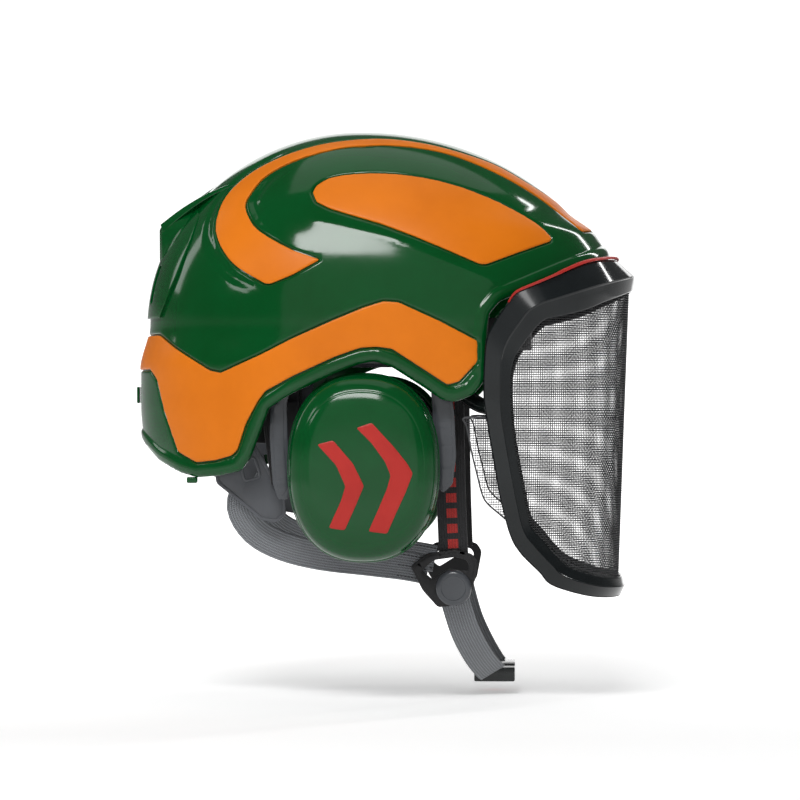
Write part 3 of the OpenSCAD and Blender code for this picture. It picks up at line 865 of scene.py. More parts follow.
# Lip between the shell's outer and inner face: share of the wall, and reach outwards
LIP = ((0.12, 0.45), (0.35, 0.7), (0.75, 0.6), (0.95, 0.25))
# Height of the crease under the wing, along X
CREASE = np.array([[-30, 63.5], [-24.5, 61.9], [20.7, 49.8], [58.5, 33.5], [88.4, 20.4]])


def sculpted(p, behind_swoosh):
    """Moulded lines of the shell: a crease under the wing and a groove behind the swoosh."""
    x, y, z = p.T
    rise = z - np.interp(x, CREASE[:, 0], CREASE[:, 1])
    along = ease(x, -34, -18) * (1 - ease(x, 76, 96))
    ridge = 0.75 * np.exp(-np.abs(rise) / 5.5) * along * (np.abs(y) > 30)
    hollow = -1.1 * bump(behind_swoosh, 6.0, 4.6) * ease(-x, 40, 58) * ease(z, 18, 30)
    return ridge + hollow


def shell_shape():
    groups = [(rim, True)]
    for loop in recesses:
        groups += [(loop, True)] + [(offset(dome, loop, d), True) for d in (0.7, 1.05)]
    for inset in (0.5, 1.2, 2.3, 3.6, 4.9, 6.0, 6.7, 7.2, 8.0):
        groups.append((offset(dome, rim, -inset), False))
    for loop in recesses:
        groups += [(offset(dome, loop, d), False) for d in (1.6, 2.4, -0.6)]
    fill = fill_dome(1.9)
    fill = fill[within(fill, rim)]
    q, loops = spaced(dome, groups, fill, 1.1)
    q, faces, place = triangulated(q, loops)
    faces = faces[within(q[faces].mean(1), rim)]
    near_rim = -distance_from(dome, q, rim)
    near_inlay = np.min([distance_from(dome, q, loop) for loop in recesses], 0)
    near_swoosh = np.min([distance_from(dome, q, loop) for loop in swoosh.values()], 0)
    base, (normal, _) = dome(q), local(dome, q)
    lift = sculpted(base, near_swoosh)
    lift *= ease(near_inlay, 0.8, 4.5) * ease(near_rim, 6, 10)
    lift += np.interp(near_inlay, *GROOVE)
    t = np.clip((near_rim - BEAD / 2) / (BEAD / 2), -1, 1)
    lift += np.where(near_rim < BEAD, BEAD_RISE * np.sqrt(1 - t * t), 0)
    outer = base + normal * lift[:, None]
    coarse = fill_dome(5.0)
    coarse = coarse[within(coarse, offset(dome, rim, -2.5))]
    q2, inner_faces, place2 = triangulated(np.vstack([rim, coarse]), [list(range(len(rim)))])
    inner_faces = inner_faces[within(q2[inner_faces].mean(1), rim)]
    a, z = from_map(q2)
    inner = dome_at(a, z, -WALL)
    n, m = len(outer), len(inner)
    out = [place[i] for i in loops[0]]
    into = [place2[i] + n for i in range(len(rim))]
    normal, _ = local(dome, rim)
    along = unit(np.roll(dome(rim), -1, 0) - np.roll(dome(rim), 1, 0))
    away = np.cross(along, normal)
    lip = [
        outer[out] - normal * WALL * share + away * reach
        for share, reach in LIP
    ]
    start = n + m
    rows = [out]
    for _ in LIP:
        rows.append(list(range(start, start + len(rim))))
        start += len(rim)
    rows.append(into)
    faces = [tuple(f) for f in faces]
    faces += [(f[2] + n, f[1] + n, f[0] + n) for f in inner_faces]
    for upper, lower in zip(rows, rows[1:]):
        for i in range(len(rim)):
            j = (i + 1) % len(rim)
            faces.append((upper[i], lower[i], lower[j], upper[j]))
    return np.vstack([outer, inner] + lip), faces


piece("shell", shell_shape(), "shell", "shell_green", GREEN, ["outer_shell"], sharp=48)
INLAY_TOP, INLAY_FOOT = 0.3, -1.0
spread_points = fill_dome(2.4)
for name, loop, nodes in (
    ("band", band, ["lower_band"]),
    ("swoosh_r", swoosh["right"], ["swoosh_right"]),
    ("swoosh_l", swoosh["left"], ["swoosh_left"]),
    ("wing_r", wing["right"], ["wing_right"]),
    ("wing_l", wing["left"], ["wing_left"]),
):
    seat = offset(dome, loop, -0.1)
    shape = inlay(dome, seat, INLAY_TOP, INLAY_FOOT, spread_points, 2.4)
    piece(name, shape, "shell", "inlay_orange", ORANGE, nodes)

# ------------------------------------------------------------------ visor

VISOR_T, VISOR_HALF, VISOR_ROUND = 3.2, 111.0, 2 / 2.6
PIVOT_X, PIVOT_Z = 28.0, -2.0


def visor_at(angle, z, inset):
    """A point of the visor surface; the angle is in degrees from straight ahead."""
    over, under = np.maximum(z - 30, 0), np.maximum(30 - z, 0)
    front = 162.5 - inset - over * 0.86 - under * 0.037
    half = VISOR_HALF - inset - over * 0.6 - under * 0.05
    a = np.radians(angle)
    x = MID + (front - MID) * spow(np.cos(a), VISOR_ROUND)
    return np.stack([x, half * spow(np.sin(a), VISOR_ROUND), z + 0 * a], -1)


# Outer edge then inner edge of the frame, each as angle and height
EDGES = [
    [0, 41, 0, 23.5], [12, 40.6, 15, 20.5], [24, 39.5, 29, 15.5], [36, 36.8, 37, 11],
    [47, 31, 43.2, 8], [56, 23.5, 52.3, 4.5], [61, 18.5, 54.8, 0.5],
    [63, 12, 58, -8], [65.6, 3, 60.3, -16], [67.5, -7, 61.5, -25], [68, -20, 61.7, -34],
    [68, -40, 61.3, -52], [67.1, -55, 60.2, -69], [65.4, -77, 58.4, -88],
    [63.6, -98, 56.6, -105], [60.9, -119, 55.2, -115], [57.8, -130, 51.6, -122.5],
    [52.4, -140.5, 47.5, -131], [47.7, -148.7, 41.5, -139], [35, -155, 28.7, -144.4],
    [21, -157.3, 14, -146], [0, -157.5, 0, -146.5],
]
# The flat face leans back towards the outer edge by this depth
FACE_LEAN = 2.4
# Section of the frame: share of the way from the outer to the inner edge, and depth
SECTION = [
    (0.0, 0.55), (0.035, 0.0), (0.5, 0.0), (0.53, 0.12), (0.56, 0.5), (0.7, 0.95),
    (0.92, 1.5), (0.975, 1.75), (1.0, 2.1), (0.985, 2.9), (0.94, 3.2),
    (0.5, 3.2), (0.08, 3.2), (0.02, 2.9), (0.0, 2.3),
]
near_rows = np.vstack([
    curve(EDGES[:6], 7)[:-1], curve(EDGES[5:8], 4)[:-1], curve(EDGES[7:], 7),
])
mirrored = near_rows[-2:0:-1] * [-1, 1, -1, 1]
frame_rows = np.vstack([near_rows, mirrored])


def visor_frame_shape():
    rings = []
    t, depth = np.array(SECTION).T
    lean = FACE_LEAN * np.interp(t, [0, 0.5], [1, 0]) * (depth < 2)
    for oa, oz, ia, iz in frame_rows:
        rings.append(visor_at(oa + (ia - oa) * t, oz + (iz - oz) * t, depth + lean))
    return loft(rings, closed=True)


piece(
    "visor_rim", visor_frame_shape(), "visor", "gloss_black", FRAME_BLACK,
    ["visor_frame"], sharp=7,
)

MESH_EDGE = np.array([
    [10, 24], [33, 17], [45, 11], [54, 7], [58, 1], [61, -8], [63.5, -18], [64.5, -34],
    [64.5, -50.4], [71.8, -52], [71.4, -57], [70.2, -71.5], [68.8, -85], [67.7, -95],
    [66.3, -101], [62.5, -108.5], [57.5, -118], [54, -125], [44, -140], [31, -147.5],
    [12, -149],
])
PITCH, UPRIGHT_R, LEVEL_R, WIRE_DEPTH = 1.4, 0.2, 0.27, VISOR_T + 1.25
# Height at which the upright wires are evenly spaced
EVEN_Z = -60.0
mesh_loop = np.vstack([MESH_EDGE, MESH_EDGE[::-1] * [-1, 1]])


def wire_net():
    """Woven wires: upright ones and level ones that pass over and under each other."""
    angles = np.linspace(-75, 75, 6001)
    run = run_along(visor_at(angles, np.full(len(angles), EVEN_Z), WIRE_DEPTH))
    run -= run[-1] / 2
    columns = np.interp(np.arange(-140, 141) * PITCH, run, angles)
    columns = columns[np.abs(columns) < 72]
    rows = np.arange(23, -149, -PITCH)
    a, z = np.meshgrid(columns, rows)
    inside = within(np.stack([a.ravel(), z.ravel()], 1), mesh_loop).reshape(a.shape)
    weave_step = (UPRIGHT_R + LEVEL_R) / 2
    over = np.where((np.indices(a.shape).sum(0) % 2) == 0, weave_step, -weave_step)
    upright, crosswise = [], []
    for lines, transposed, sign in ((upright, True, 1), (crosswise, False, -1)):
        grid = (a.T, z.T, inside.T, over.T) if transposed else (a, z, inside, over)
        for aa, zz, ok, lift in zip(*grid):
            edges = np.flatnonzero(np.diff(np.r_[False, ok, False]))
            for start, stop in edges.reshape(-1, 2):
                if stop - start > 2:
                    part = slice(start, stop)
                    lines.append(visor_at(aa[part], zz[part], WIRE_DEPTH - sign * lift[part]))
    return upright, crosswise


def thin_wires(lines, radius, up):
    return joined([rod(line, radius, turns=3, up=up) for line in lines])


upright, crosswise = wire_net()
uprights = thin_wires(upright, UPRIGHT_R, (0.3, 0.2, 0.05))
piece("mesh_upright_wires", uprights, "visor", "mesh_steel", WIRE, ["visor_mesh"])
levels = thin_wires(crosswise, LEVEL_R, (0, 0, 1))
piece("mesh_level_wires", levels, "visor", "mesh_steel", WIRE)


def binding_shape():
    """Folded wire edge round the net."""
    loop = curve(np.vstack([mesh_loop, mesh_loop[:1]]), 4)[:-1]
    p = visor_at(loop[:, 0], loop[:, 1], WIRE_DEPTH)
    q = visor_at(loop[:, 0], loop[:, 1], WIRE_DEPTH - 1)
    out = unit(q - p)
    ahead = unit(np.roll(p, -1, 0) - np.roll(p, 1, 0))
    side = unit(np.cross(out, ahead))
    section = [(-0.4, -0.3), (0.4, -0.3), (0.55, 0), (0.4, 0.3), (-0.4, 0.3), (-0.55, 0)]
    rings = [np.array([c + s * u + o * v for u, v in section]) for c, s, o in zip(p, side, out)]
    return loft(rings, closed=True)


piece("mesh_binding", binding_shape(), "visor", "mesh_steel", WIRE)


# Section of the red lip: height above the frame's outer edge, and depth
SEAL = [
    (0.25, 2.5), (0.2, 1.2), (0.25, 0.7), (0.9, 0.25), (1.6, 0.05), (1.8, 0.4),
    (1.75, 1.5), (1.2, 2.3),
]


def seal_shape():
    """Lip along the frame's upper edge, from one corner round the front to the other."""
    rows = near_rows[: 7 * 6 + 1]
    line = np.vstack([rows[::-1] * [-1, 1, -1, 1], rows[1:]])
    rise, depth = np.array(SEAL).T
    return loft([
        visor_at(np.full(len(SEAL), angle), z + rise, depth) for angle, z in line[:, :2]
    ])


piece("visor_seal_lip", seal_shape(), "visor", "signal_red", RED, ["visor_seal"])

ARM = [[34, -81.8, -9], [42, -81.8, -19], [54, -81.8, -33], [63, -82.2, -41],
       [71, -86.8, -45.6], [79, -92.2, -47]]


def arm_shape():
    path = curve(ARM, 8)
    radius = np.full(len(path), 3.9)
    radius[-7:] = [3.9, 4.0, 4.0, 3.6, 3.6, 3.6, 3.2]
    hub = [
        (-85.8, 5.4), (-85.7, 6.6), (-85.2, 7.4), (-84.4, 7.9), (-79.2, 7.9), (-78.3, 7.4),
        (-77.9, 6.4), (-77.8, 3.0),
    ]
    ring = [(-85.85, 3.0), (-85.85, 4.6), (-85.5, 4.9), (-84.9, 5.0)]
    turned = [lathe(profile, PIVOT_X, PIVOT_Z) for profile in (hub, ring)]
    return joined([rod(path, radius, 20), *turned])


# ------------------------------------------------------------------ ear muffs

MUFF_X, MUFF_Z, CAP_X, CAP_Z = 4.6, -80.5, 43.5, 54.0
CUP_X, CUP_Z = 38.0, 50.0
# Distance from the centre plane and share of the full outline
CAP_PROFILE = np.vstack([
    [[96.9, 0.94], [97.1, 0.965]],
    curve([[98.0, 0.99], [99.5, 1.0], [101, 0.996], [102, 0.985], [107, 0.972],
           [111.5, 0.935], [114.8, 0.875], [116.6, 0.825], [117.1, 0.80], [117.9, 0.77],
           [119.4, 0.68], [120.4, 0.5], [120.9, 0.25], [121, 0.06]], 4),
])
CAP_INSIDE = [(108.0, 0.88), (99.0, 0.9), (97.0, 0.91)]


def oval_solid(rows, half_x, half_z):
    """Solid of ovals round the muff's axis: rows of (distance out, share of the size)."""
    rings = []
    for y, share in rows:
        o = oval(half_x * share, half_z * share)
        rings.append(np.stack([MUFF_X + o[:, 0], np.full(len(o), -y), MUFF_Z + o[:, 1]], 1))
    return loft(rings)


def cap_shape():
    return oval_solid([*CAP_INSIDE, *CAP_PROFILE], CAP_X, CAP_Z)


def cap_face(q):
    """The cap's outer face as a surface over the side-view plane."""
    x, z = (q[..., 0] - MUFF_X) / CAP_X, (q[..., 1] - MUFF_Z) / CAP_Z
    share = (np.abs(x) ** 2.3 + np.abs(z) ** 2.3) ** (1 / 2.3)
    face = CAP_PROFILE[::-1]
    return np.stack([q[..., 0], -np.interp(share, face[:, 1], face[:, 0]), q[..., 1]], -1)


CHEVRONS = [
    [[-25, 13.5], [-16, 15.8], [-4.8, 2.8], [1.4, -9.8], [-2.9, -20.1],
     [-9.5, -34.8], [-18.5, -33.5], [-11.5, -18.2], [-9, -10], [-14.3, 1.8]],
    [[-2.9, 22.8], [5.7, 25.7], [18.1, 12.3], [25.7, 2.8], [28.8, -2.8],
     [24.8, -13.4], [19.1, -25.8], [14.3, -36.7], [3.8, -35.4], [8.6, -24.9],
     [14.3, -11.5], [16.4, -3.9], [13.3, 3.7], [5.7, 14.2]],
]


def chevron_shape():
    parts = []
    for outline in CHEVRONS:
        loop = rounded(np.array(outline) + [MUFF_X, MUFF_Z], 0.8, 0.9)
        parts.append(inlay(cap_face, loop, 0.5, -0.2, fill_plane(loop, 2.0), 2.0, edge=0.35))
    return joined(parts)


def ring_shape(half_x, half_z, hole_x, hole_z, rows, turns=96):
    """Oval ring: rows of (share from the hole to the outer edge, distance from the centre)."""
    rings = []
    outer, inner = oval(half_x, half_z, turns=turns), oval(hole_x, hole_z, turns=turns)
    for k in range(turns):
        ring = []
        for share, y in rows:
            p = inner[k] + (outer[k] - inner[k]) * share
            ring.append((MUFF_X + p[0], -y, MUFF_Z + p[1]))
        rings.append(ring)
    return loft(rings, closed=True)


CUSHION_ROWS = [
    (1.0, 79.0), (0.985, 79.25), (1.0, 79.6), (0.99, 82.5), (0.94, 84.8), (0.82, 85.9),
    (0.5, 86.0), (0.2, 85.8), (0.06, 84.9), (0.0, 82.5), (-0.01, 79.0), (0.02, 75.5),
    (0.12, 73.3), (0.32, 72.2), (0.52, 72.0), (0.72, 72.3), (0.88, 73.5), (0.97, 76.0),
]


def cushion_shape():
    points, faces = ring_shape(CUP_X - 0.5, CUP_Z - 1, CUP_X - 14, CUP_Z - 14, CUSHION_ROWS, 144)
    a = np.arctan2(points[:, 2] - MUFF_Z, points[:, 0] - MUFF_X)
    soft = ease(-points[:, 1], 72.0, 74.5) * ease(-points[:, 1], 85.8, 83)
    creases = 0.16 * np.sin(34 * a + 2 * np.sin(5 * a)) + 0.22 * wave(points, 9.0, 1.7)
    middle = np.array([MUFF_X, 0, MUFF_Z])
    away = unit((points - middle) * [1, 0, 1])
    return points - away * (np.abs(creases) * soft)[:, None], faces


CUP_ROWS = [
    (1.0, 88.0), (1.0, 106.5), (0.985, 108.0), (0.95, 108.6), (0.78, 108.6), (0.77, 107.5),
    (0.77, 89.5), (0.74, 88.5), (0.06, 88.5), (0.0, 88.2), (0.0, 86.6), (0.05, 86.3),
    (0.95, 86.3), (0.985, 86.8),
]


def cup_shape():
    return ring_shape(CUP_X, CUP_Z, CUP_X - 13, CUP_Z - 13, CUP_ROWS)


FORK = [
    [2.2, 7.8], [9.8, 7.8], [9.8, -14], [44, -14], [50, -17], [53, -26], [56, -50], [57, -74],
    [55, -90], [50, -95], [45.5, -91], [44, -78], [43.5, -50], [42, -27], [38, -21.5],
    [-31, -21.5], [-36, -26], [-40, -44], [-39, -70], [-36.6, -92], [-40, -99],
    [-45, -99], [-48, -90], [-50, -62], [-49, -38], [-44, -20], [-37, -14], [2.2, -14],
]
# Raised face of the fork's front leg, and the dark rib of its rear leg
FRONT_LEG = [
    [43.4, -30], [51, -27], [54, -50], [55, -74], [53.6, -88], [50, -92.6], [47, -89.5],
    [45.6, -78], [45, -50],
]
REAR_LEG = [
    [-46.6, -36], [-42, -40], [-41.4, -70], [-39.4, -92], [-42, -96.8], [-44.4, -96],
    [-46.4, -84], [-48, -60],
]


def fork_shape():
    loop = rounded(FORK, 1.0, 0.8)
    front, rear = rounded(FRONT_LEG, 0.9, 0.9), rounded(REAR_LEG, 0.9, 0.8)
    return joined([
        slab(loop, 87.5, 90.2, 0.45),
        slab(front, 89.9, 90.5, 0.18),
        slab(rear, 89.9, 90.5, 0.18),
    ])


def cup_foam_shape():
    rows = ((100.0, 0.96), (100.4, 1.0), (105.6, 1.0), (106.3, 0.95))
    return oval_solid(rows, CUP_X - 3, CUP_Z - 3)


# ------------------------------------------------------------------ straps

FRONT_STRAP = [[52, -75.8, 3], [52.5, -75.4, -30], [53, -74.6, -62], [53.6, -70.5, -95],
               [54.6, -66, -124], [55, -65, -133]]
REAR_STRAP = [[-64, -71.5, -90], [-68, -70.5, -104], [-60, -67.5, -118],
              [-44, -64.5, -127], [-22, -62.5, -132.5], [4, -62.3, -135.5],
              [26, -63.6, -138], [40, -64.6, -140.5]]
SIDE_WEBBING = [[-52, -83, -14], [-50, -82.6, -40], [-47, -80.4, -66], [-44, -77.6, -90]]
CHIN_STRAP = [[55, -64.6, -154], [57.5, -62, -164], [62, -55, -178],
              [69, -44, -192], [75, -30, -201], [77, -25, -203]]
NAPE_PLATE = [
    [-84, -70], [-60, -66], [-50, -84], [-42, -98], [-41.5, -108], [-47, -113],
    [-56, -111.5], [-72, -98], [-82, -90],
]
NAPE_SLOT = [[-68, -76], [-60, -76], [-57, -86], [-65, -88]]
DIVIDER = [
    [30, -138], [40, -130.5], [56, -128.5], [66, -131], [69, -136], [66, -152],
    [60, -160], [46, -162], [37, -152],
]


def plate_shape():
    """Nape plate: a slotted plate with a raised rim along its outline and slot."""
    loop, hole = rounded(NAPE_PLATE, 1.0, 1.3), rounded(NAPE_SLOT, 0.7, 0.7)
    inner = rounded(offset(plane, loop, -1.8), 1.0, 0.4)
    round_slot = rounded(offset(plane, hole, 1.4), 0.8, 0.3)
    return joined([
        slab(loop, 73.2, 75.4, 0.4, [hole]),
        slab(loop, 75.2, 76.0, 0.25, [inner]),
        slab(round_slot, 75.2, 75.9, 0.2, [hole]),
    ])


# Opening of the divider through which the webbing shows
DIVIDER_HOLE = [
    [36.5, -140.5], [43.5, -134.6], [56, -132.8], [62.5, -134.4], [64.2, -137.5],
    [63, -141], [52, -139.5], [42.5, -145.5],
]


def divider_shape():
    loop, hole = rounded(DIVIDER, 1.0, 1.4), rounded(DIVIDER_HOLE, 0.8, 1.0)
    inner = rounded(offset(plane, loop, -1.6), 1.0, 0.5)
    round_hole = rounded(offset(plane, hole, 0.8), 0.8, 0.3)
    return joined([
        slab(loop, 66.6, 68.4, 0.4, [hole]),
        slab(inner, 68.2, 68.9, 0.22, [round_hole]),
    ])


def divider_cap_shape():
    profile = [
        (-68.8, 9.6), (-69.1, 10.2), (-69.6, 10.4), (-71.2, 10.3), (-72.1, 9.8),
        (-72.7, 8.9), (-73.0, 7.7), (-73.0, 7.2), (-72.7, 6.9), (-72.7, 0.4),
    ]
    return lathe(profile, 55, -150.5, 64)


def stitch_shape(path, rows, pitch, facing, thick):
    """Rows of short raised stitches along a strap's middle line."""
    line = curve(path, 12)
    run = run_along(line)
    low, high = thick / 2 - 0.05, thick / 2 + 0.18
    height = np.array([low, high, low])[:, None]
    parts = []
    for across, start, stop in rows:
        for s in np.arange(start, stop, pitch):
            reach = (s, s + pitch * 0.3, s + pitch * 0.65)
            ends = np.array([[np.interp(t, run, line[:, k]) for k in range(3)] for t in reach])
            ahead = directions(ends)
            side = unit(np.cross(np.asarray(facing, float), ahead))
            out = np.cross(ahead, side)
            for sign in (1, -1):
                parts.append(rod(ends + side * across + out * height * sign, 0.28, 6))
    return joined(parts)


def sided(name, side, shape, body, slot, material, nodes=(), **more):
    """A piece of one side, made from the shape of the right side."""
    shape = flipped(shape, SIDES[side])
    return piece(f"{name}_{side[0]}", shape, body, slot, material, nodes, **more)


STITCH_ROWS = [(across, 118, 138) for across in (-6.2, 6.2, 0)]
for s in SIDES:
    sided("arm", s, arm_shape(), "visor", "gloss_black", GLOSS, ["visor_arm_" + s])
    muff, fork = "muff_" + s, "muff_fork_" + s
    # A node that holds both sides is replaced by its right piece
    webbing, caps = ([], []) if s == "left" else (["side_webbing"], ["divider_caps"])
    cap = ["muff_cap_" + s]
    sided("cap", s, cap_shape(), muff, "shell_green", CAP_GREEN, cap, sharp=30)
    chevrons = ["muff_chevrons_" + s]
    sided("chevrons", s, chevron_shape(), muff, "signal_red", RED, chevrons)
    sided("cup", s, cup_shape(), muff, "black_plastic", BLACK, ["muff_cup_" + s])
    cushion = sided(
        "cushion", s, cushion_shape(), muff, "cushion", CUSHION, ["ear_cushion_" + s],
        sharp=70,
    )
    disc = sided("cup_foam", s, cup_foam_shape(), muff, "foam", SOFT_FOAM, ["cup_foam_" + s])
    sided("fork", s, fork_shape(), fork, "grey_plastic", GREY_GLOSS, ["muff_fork_" + s])
    for name, route, lie, slot, material, nodes in (
        ("front", FRONT_STRAP, {"across": (1, 0, 0)}, "web_black", WEB_DASHED,
         ["front_strap_" + s]),
        ("rear", REAR_STRAP, {"facing": (0, 1, 0)}, "web_grey", WEB_GREY,
         ["rear_strap_" + s]),
        ("chin", CHIN_STRAP, {"across": (0.88, 0, 0.47)}, "web_grey", WEB_GREY,
         ["chin_strap_" + s]),
        ("nape", SIDE_WEBBING, {"across": (1, 0, 0.1), "width": 12.0}, "web_black",
         WEB_BLACK, webbing),
    ):
        strap, weave = ribbon(route, **lie)
        sided(
            name + "_webbing", s, strap, "shell", slot, material, nodes,
            weave=weave, sharp=60,
        )
    plate = ["nape_plate_" + s]
    sided("nape_plate", s, plate_shape(), "shell", "grey_plastic", GREY, plate)
    divider = ["strap_divider_" + s]
    sided("divider", s, divider_shape(), "shell", "black_plastic", BLACK, divider)
    sided("divider_cap", s, divider_cap_shape(), "shell", "grey_plastic", GREY_GLOSS, caps)
    threads = stitch_shape(REAR_STRAP, STITCH_ROWS, 2.2, (0, 1, 0), 1.4)
    sided("rear_stitches", s, threads, "shell", "web_grey", THREAD)

# ------------------------------------------------------------------ rear cover

SPOILER = [
    [-74, 0, 99], [-76, -34, 84], [-76, 34, 84], [-121.5, -24, 61.7], [-121.5, 24, 61.7],
    [-120.2, -23, 51], [-120.2, 23, 51], [-121, -27, 38], [-121, 27, 38],
    [-84, -52, 62], [-84, 52, 62],
]


# Least angles in degrees between faces that count as a bend, and as an edge to chamfer
BEND, CORNER = 2, 7


def faceted_shape(corners, chamfer, soft):
    """Convex solid with flat chamfers whose own edges are slightly rounded."""
    work = bmesh.new()
    for corner in corners:
        work.verts.new(corner)
    bmesh.ops.convex_hull(work, input=work.verts)
    bmesh.ops.dissolve_limit(
        work, angle_limit=math.radians(BEND), verts=work.verts, edges=work.edges
    )
    for width, steps in ((chamfer, 1), (soft, 2)):
        edges = [
            e for e in work.edges
            if e.is_manifold and e.calc_face_angle(0) > math.radians(CORNER)
        ]
        bmesh.ops.bevel(
            work, geom=edges, offset=width, segments=steps, profile=0.5,
            affect="EDGES", clamp_overlap=True,
        )
    work.verts.index_update()
    points = np.array([v.co[:] for v in work.verts])
    faces = [tuple(v.index for v in f.verts) for f in work.faces]
    work.free()
    return points, faces


SLOT_Y, SLOT_HALF, SLOT_LOW, SLOT_HIGH = (-30, -10, 10, 30), 3.5, 15.0, 37.0
cover = softened(dome, round_line(COVER), 1.2, 1.5)


def slot_loop(y, grow=0.0):
    """An air slot of the cover as map points."""
    corners = []
    low, high = SLOT_LOW - grow, SLOT_HIGH + grow
    for dy, z in ((-1, low), (1, low), (1, high), (-1, high)):
        wanted = y + dy * (SLOT_HALF + grow)
        angles = np.linspace(math.radians(120), math.radians(240), 1201)
        at = dome_at(angles, np.full(1201, z))
        corners.append(to_map(np.interp(-wanted, -at[:, 1], angles), z))
    return softened(dome, np.array(corners), 0.8, 1.2)


def cover_rise(p):
    """The cover grows out of the shell and stands highest at the tail."""
    return 0.35 + 1.45 * ease(-p[:, 0], 92, 112)


def cover_shape():
    holes = [slot_loop(y) for y in SLOT_Y]
    return inlay(dome, cover, cover_rise, 0.02, fill_dome(2.6), 2.6, holes=holes, edge=0.25)


def slot_shade_shape():
    """Black sheet in each air slot, standing for the painted shade inside the opening."""
    parts = []
    for y in SLOT_Y:
        loop = slot_loop(y, 0.6)
        parts.append(inlay(dome, loop, 0.35, 0.06, fill_plane(loop, 2.0), 2.0, edge=0.1))
    return joined(parts)


RIDGE = curve([[-72, -43.5, 86.2], [-90, -38, 79], [-106, -31, 70], [-119.5, -25, 60]], 5)
RIDGE_FACE = unit(np.array([-0.3, -0.8, 0.45]))


def ridge_shape():
    """Flat-faced strip that runs down each side of the spoiler to the tail corner."""
    ahead = directions(RIDGE)
    face = unit(RIDGE_FACE - (ahead @ RIDGE_FACE)[:, None] * ahead)
    down = np.cross(ahead, face)
    rings = []
    for k, p in enumerate(RIDGE):
        w = 0.8 + 2.4 * k / (len(RIDGE) - 1)
        section = [
            (-w, 0.0), (-w + 0.3, 0.3), (w - 0.3, 0.3), (w, 0.0),
            (w * 0.7, -4.0), (-w * 0.7, -4.0),
        ]
        rings.append(np.array([p + down[k] * u + face[k] * v for u, v in section]))
    return loft(rings)


for s in SIDES:
    sided("spoiler_ridge", s, ridge_shape(), "shell", "shell_green", GREEN, sharp=20)
spoiler = faceted_shape(SPOILER, 2.6, 0.35)
piece("spoiler", spoiler, "shell", "shell_green", GREEN, sharp=20)
piece("cover_plate", cover_shape(), "shell", "shell_green", GREEN, ["rear_cover"], sharp=30)
# Painted shade: black sheets in the air slots stand for the dark openings
piece("cover_slot_shade", slot_shade_shape(), "shell", "black_plastic", BLACK)

# ------------------------------------------------------------------ liner, headband and pads

LINER_GROW, HEAD_X, HEAD_RX, HEAD_RY, HEAD_RZ = -3.8, 4.0, 108.0, 81.0, 80.0
# Lowest height of the liner, depth of its air channels, and the distance off the
# centre plane of those that run front to back
LINER_LOW, CHANNEL_DEPTH, CHANNELS = 8.2, 3.6, (-46, -23, 0, 23, 46)


def liner_low(x):
    return np.interp(x, [-134, 32, 76, 120, 150], [LINER_LOW, LINER_LOW, 26, 54, 60])


def head_at(a, z):
    c = np.sqrt(np.clip(1 - (z / HEAD_RZ) ** 2, 0, 1))
    return np.stack([HEAD_X + HEAD_RX * c * np.cos(a), HEAD_RY * c * np.sin(a), z + 0 * a], -1)


def liner_shape():
    a = np.radians(np.arange(0, 360, 1.5))
    low = np.full(len(a), LINER_LOW)
    for _ in range(12):
        low = (low + liner_low(dome_at(a, low, LINER_GROW)[:, 0])) / 2
    rings = []
    top = HEAD_RZ - 0.02
    middle = np.array([HEAD_X, 0, 0])
    for s in np.linspace(0, 1, 60):
        z = low + (top - low) * math.sin(math.pi / 2 * (1 - s))
        p = head_at(a, z)
        groove = sum(bump(p[:, 1], y, 6.5) for y in CHANNELS) * CHANNEL_DEPTH
        groove += 3.0 * bump(p[:, 0], -30, 7) + 3.0 * bump(p[:, 0], 40, 7)
        groove = np.minimum(groove, CHANNEL_DEPTH) * ease(z - low, 5, 12)
        groove *= ease(s, 0.02, 0.12)
        rings.append(p + unit(p - middle) * groove[:, None])
    inner, outer = head_at(a, low), dome_at(a, low, LINER_GROW)
    for share, drop in ((0.06, -0.8), (0.2, -1.6), (0.5, -1.8), (0.8, -1.6), (0.94, -0.8)):
        ring = inner + (outer - inner) * share
        ring[:, 2] += drop + 1.6
        rings.append(ring)
    roof = CROWN + LINER_GROW - 0.05
    for s in np.linspace(0, 1, 30):
        z = low + (roof - low) * math.sin(math.pi / 2 * s)
        rings.append(dome_at(a, z, LINER_GROW))
    return loft(rings)


piece("liner", liner_shape(), "shell", "foam", LINER_FOAM, ["foam_liner"], sharp=50)


# Half of a stuffed pad's profile: share of its outline, and height of its thickness
PAD_ROWS = [
    (0.04, 0.47), (0.3, 0.49), (0.55, 0.48), (0.75, 0.45), (0.88, 0.36), (0.955, 0.2),
    (0.975, 0.08), (1.0, 0.05),
]


def cushion_block(half_u, half_v, centre, frame_axes, thick, seed):
    """Stuffed pad over an oval outline: domed faces, a stitched edge seam, faint creases."""
    u, v, w = (np.asarray(axis, float) for axis in frame_axes)
    rows = PAD_ROWS + [(share, -height) for share, height in PAD_ROWS[::-1]]
    rings = []
    for share, height in rows:
        o = oval(half_u, half_v, turns=72) * share
        p = centre + o[:, :1] * u + o[:, 1:] * v + w * thick * height
        dent = 0.12 * thick * wave(p, 11.0, seed) * (1 - share ** 4)
        rings.append(p - w * (np.sign(height) * np.abs(dent))[:, None])
    return loft(rings)


# Reach of the headband ahead and behind, and its half width
BAND_FRONT, BAND_REAR, BAND_HALF = 98.0, 88.0, 75.0


def band_line(grow, turns):
    a = np.radians(np.arange(turns) * 360 / turns)
    reach = np.where(np.cos(a) > 0, BAND_FRONT + grow, BAND_REAR + grow)
    across = (BAND_HALF + grow) * spow(np.sin(a), 0.92)
    return np.stack([reach * spow(np.cos(a), 0.92), across], 1)


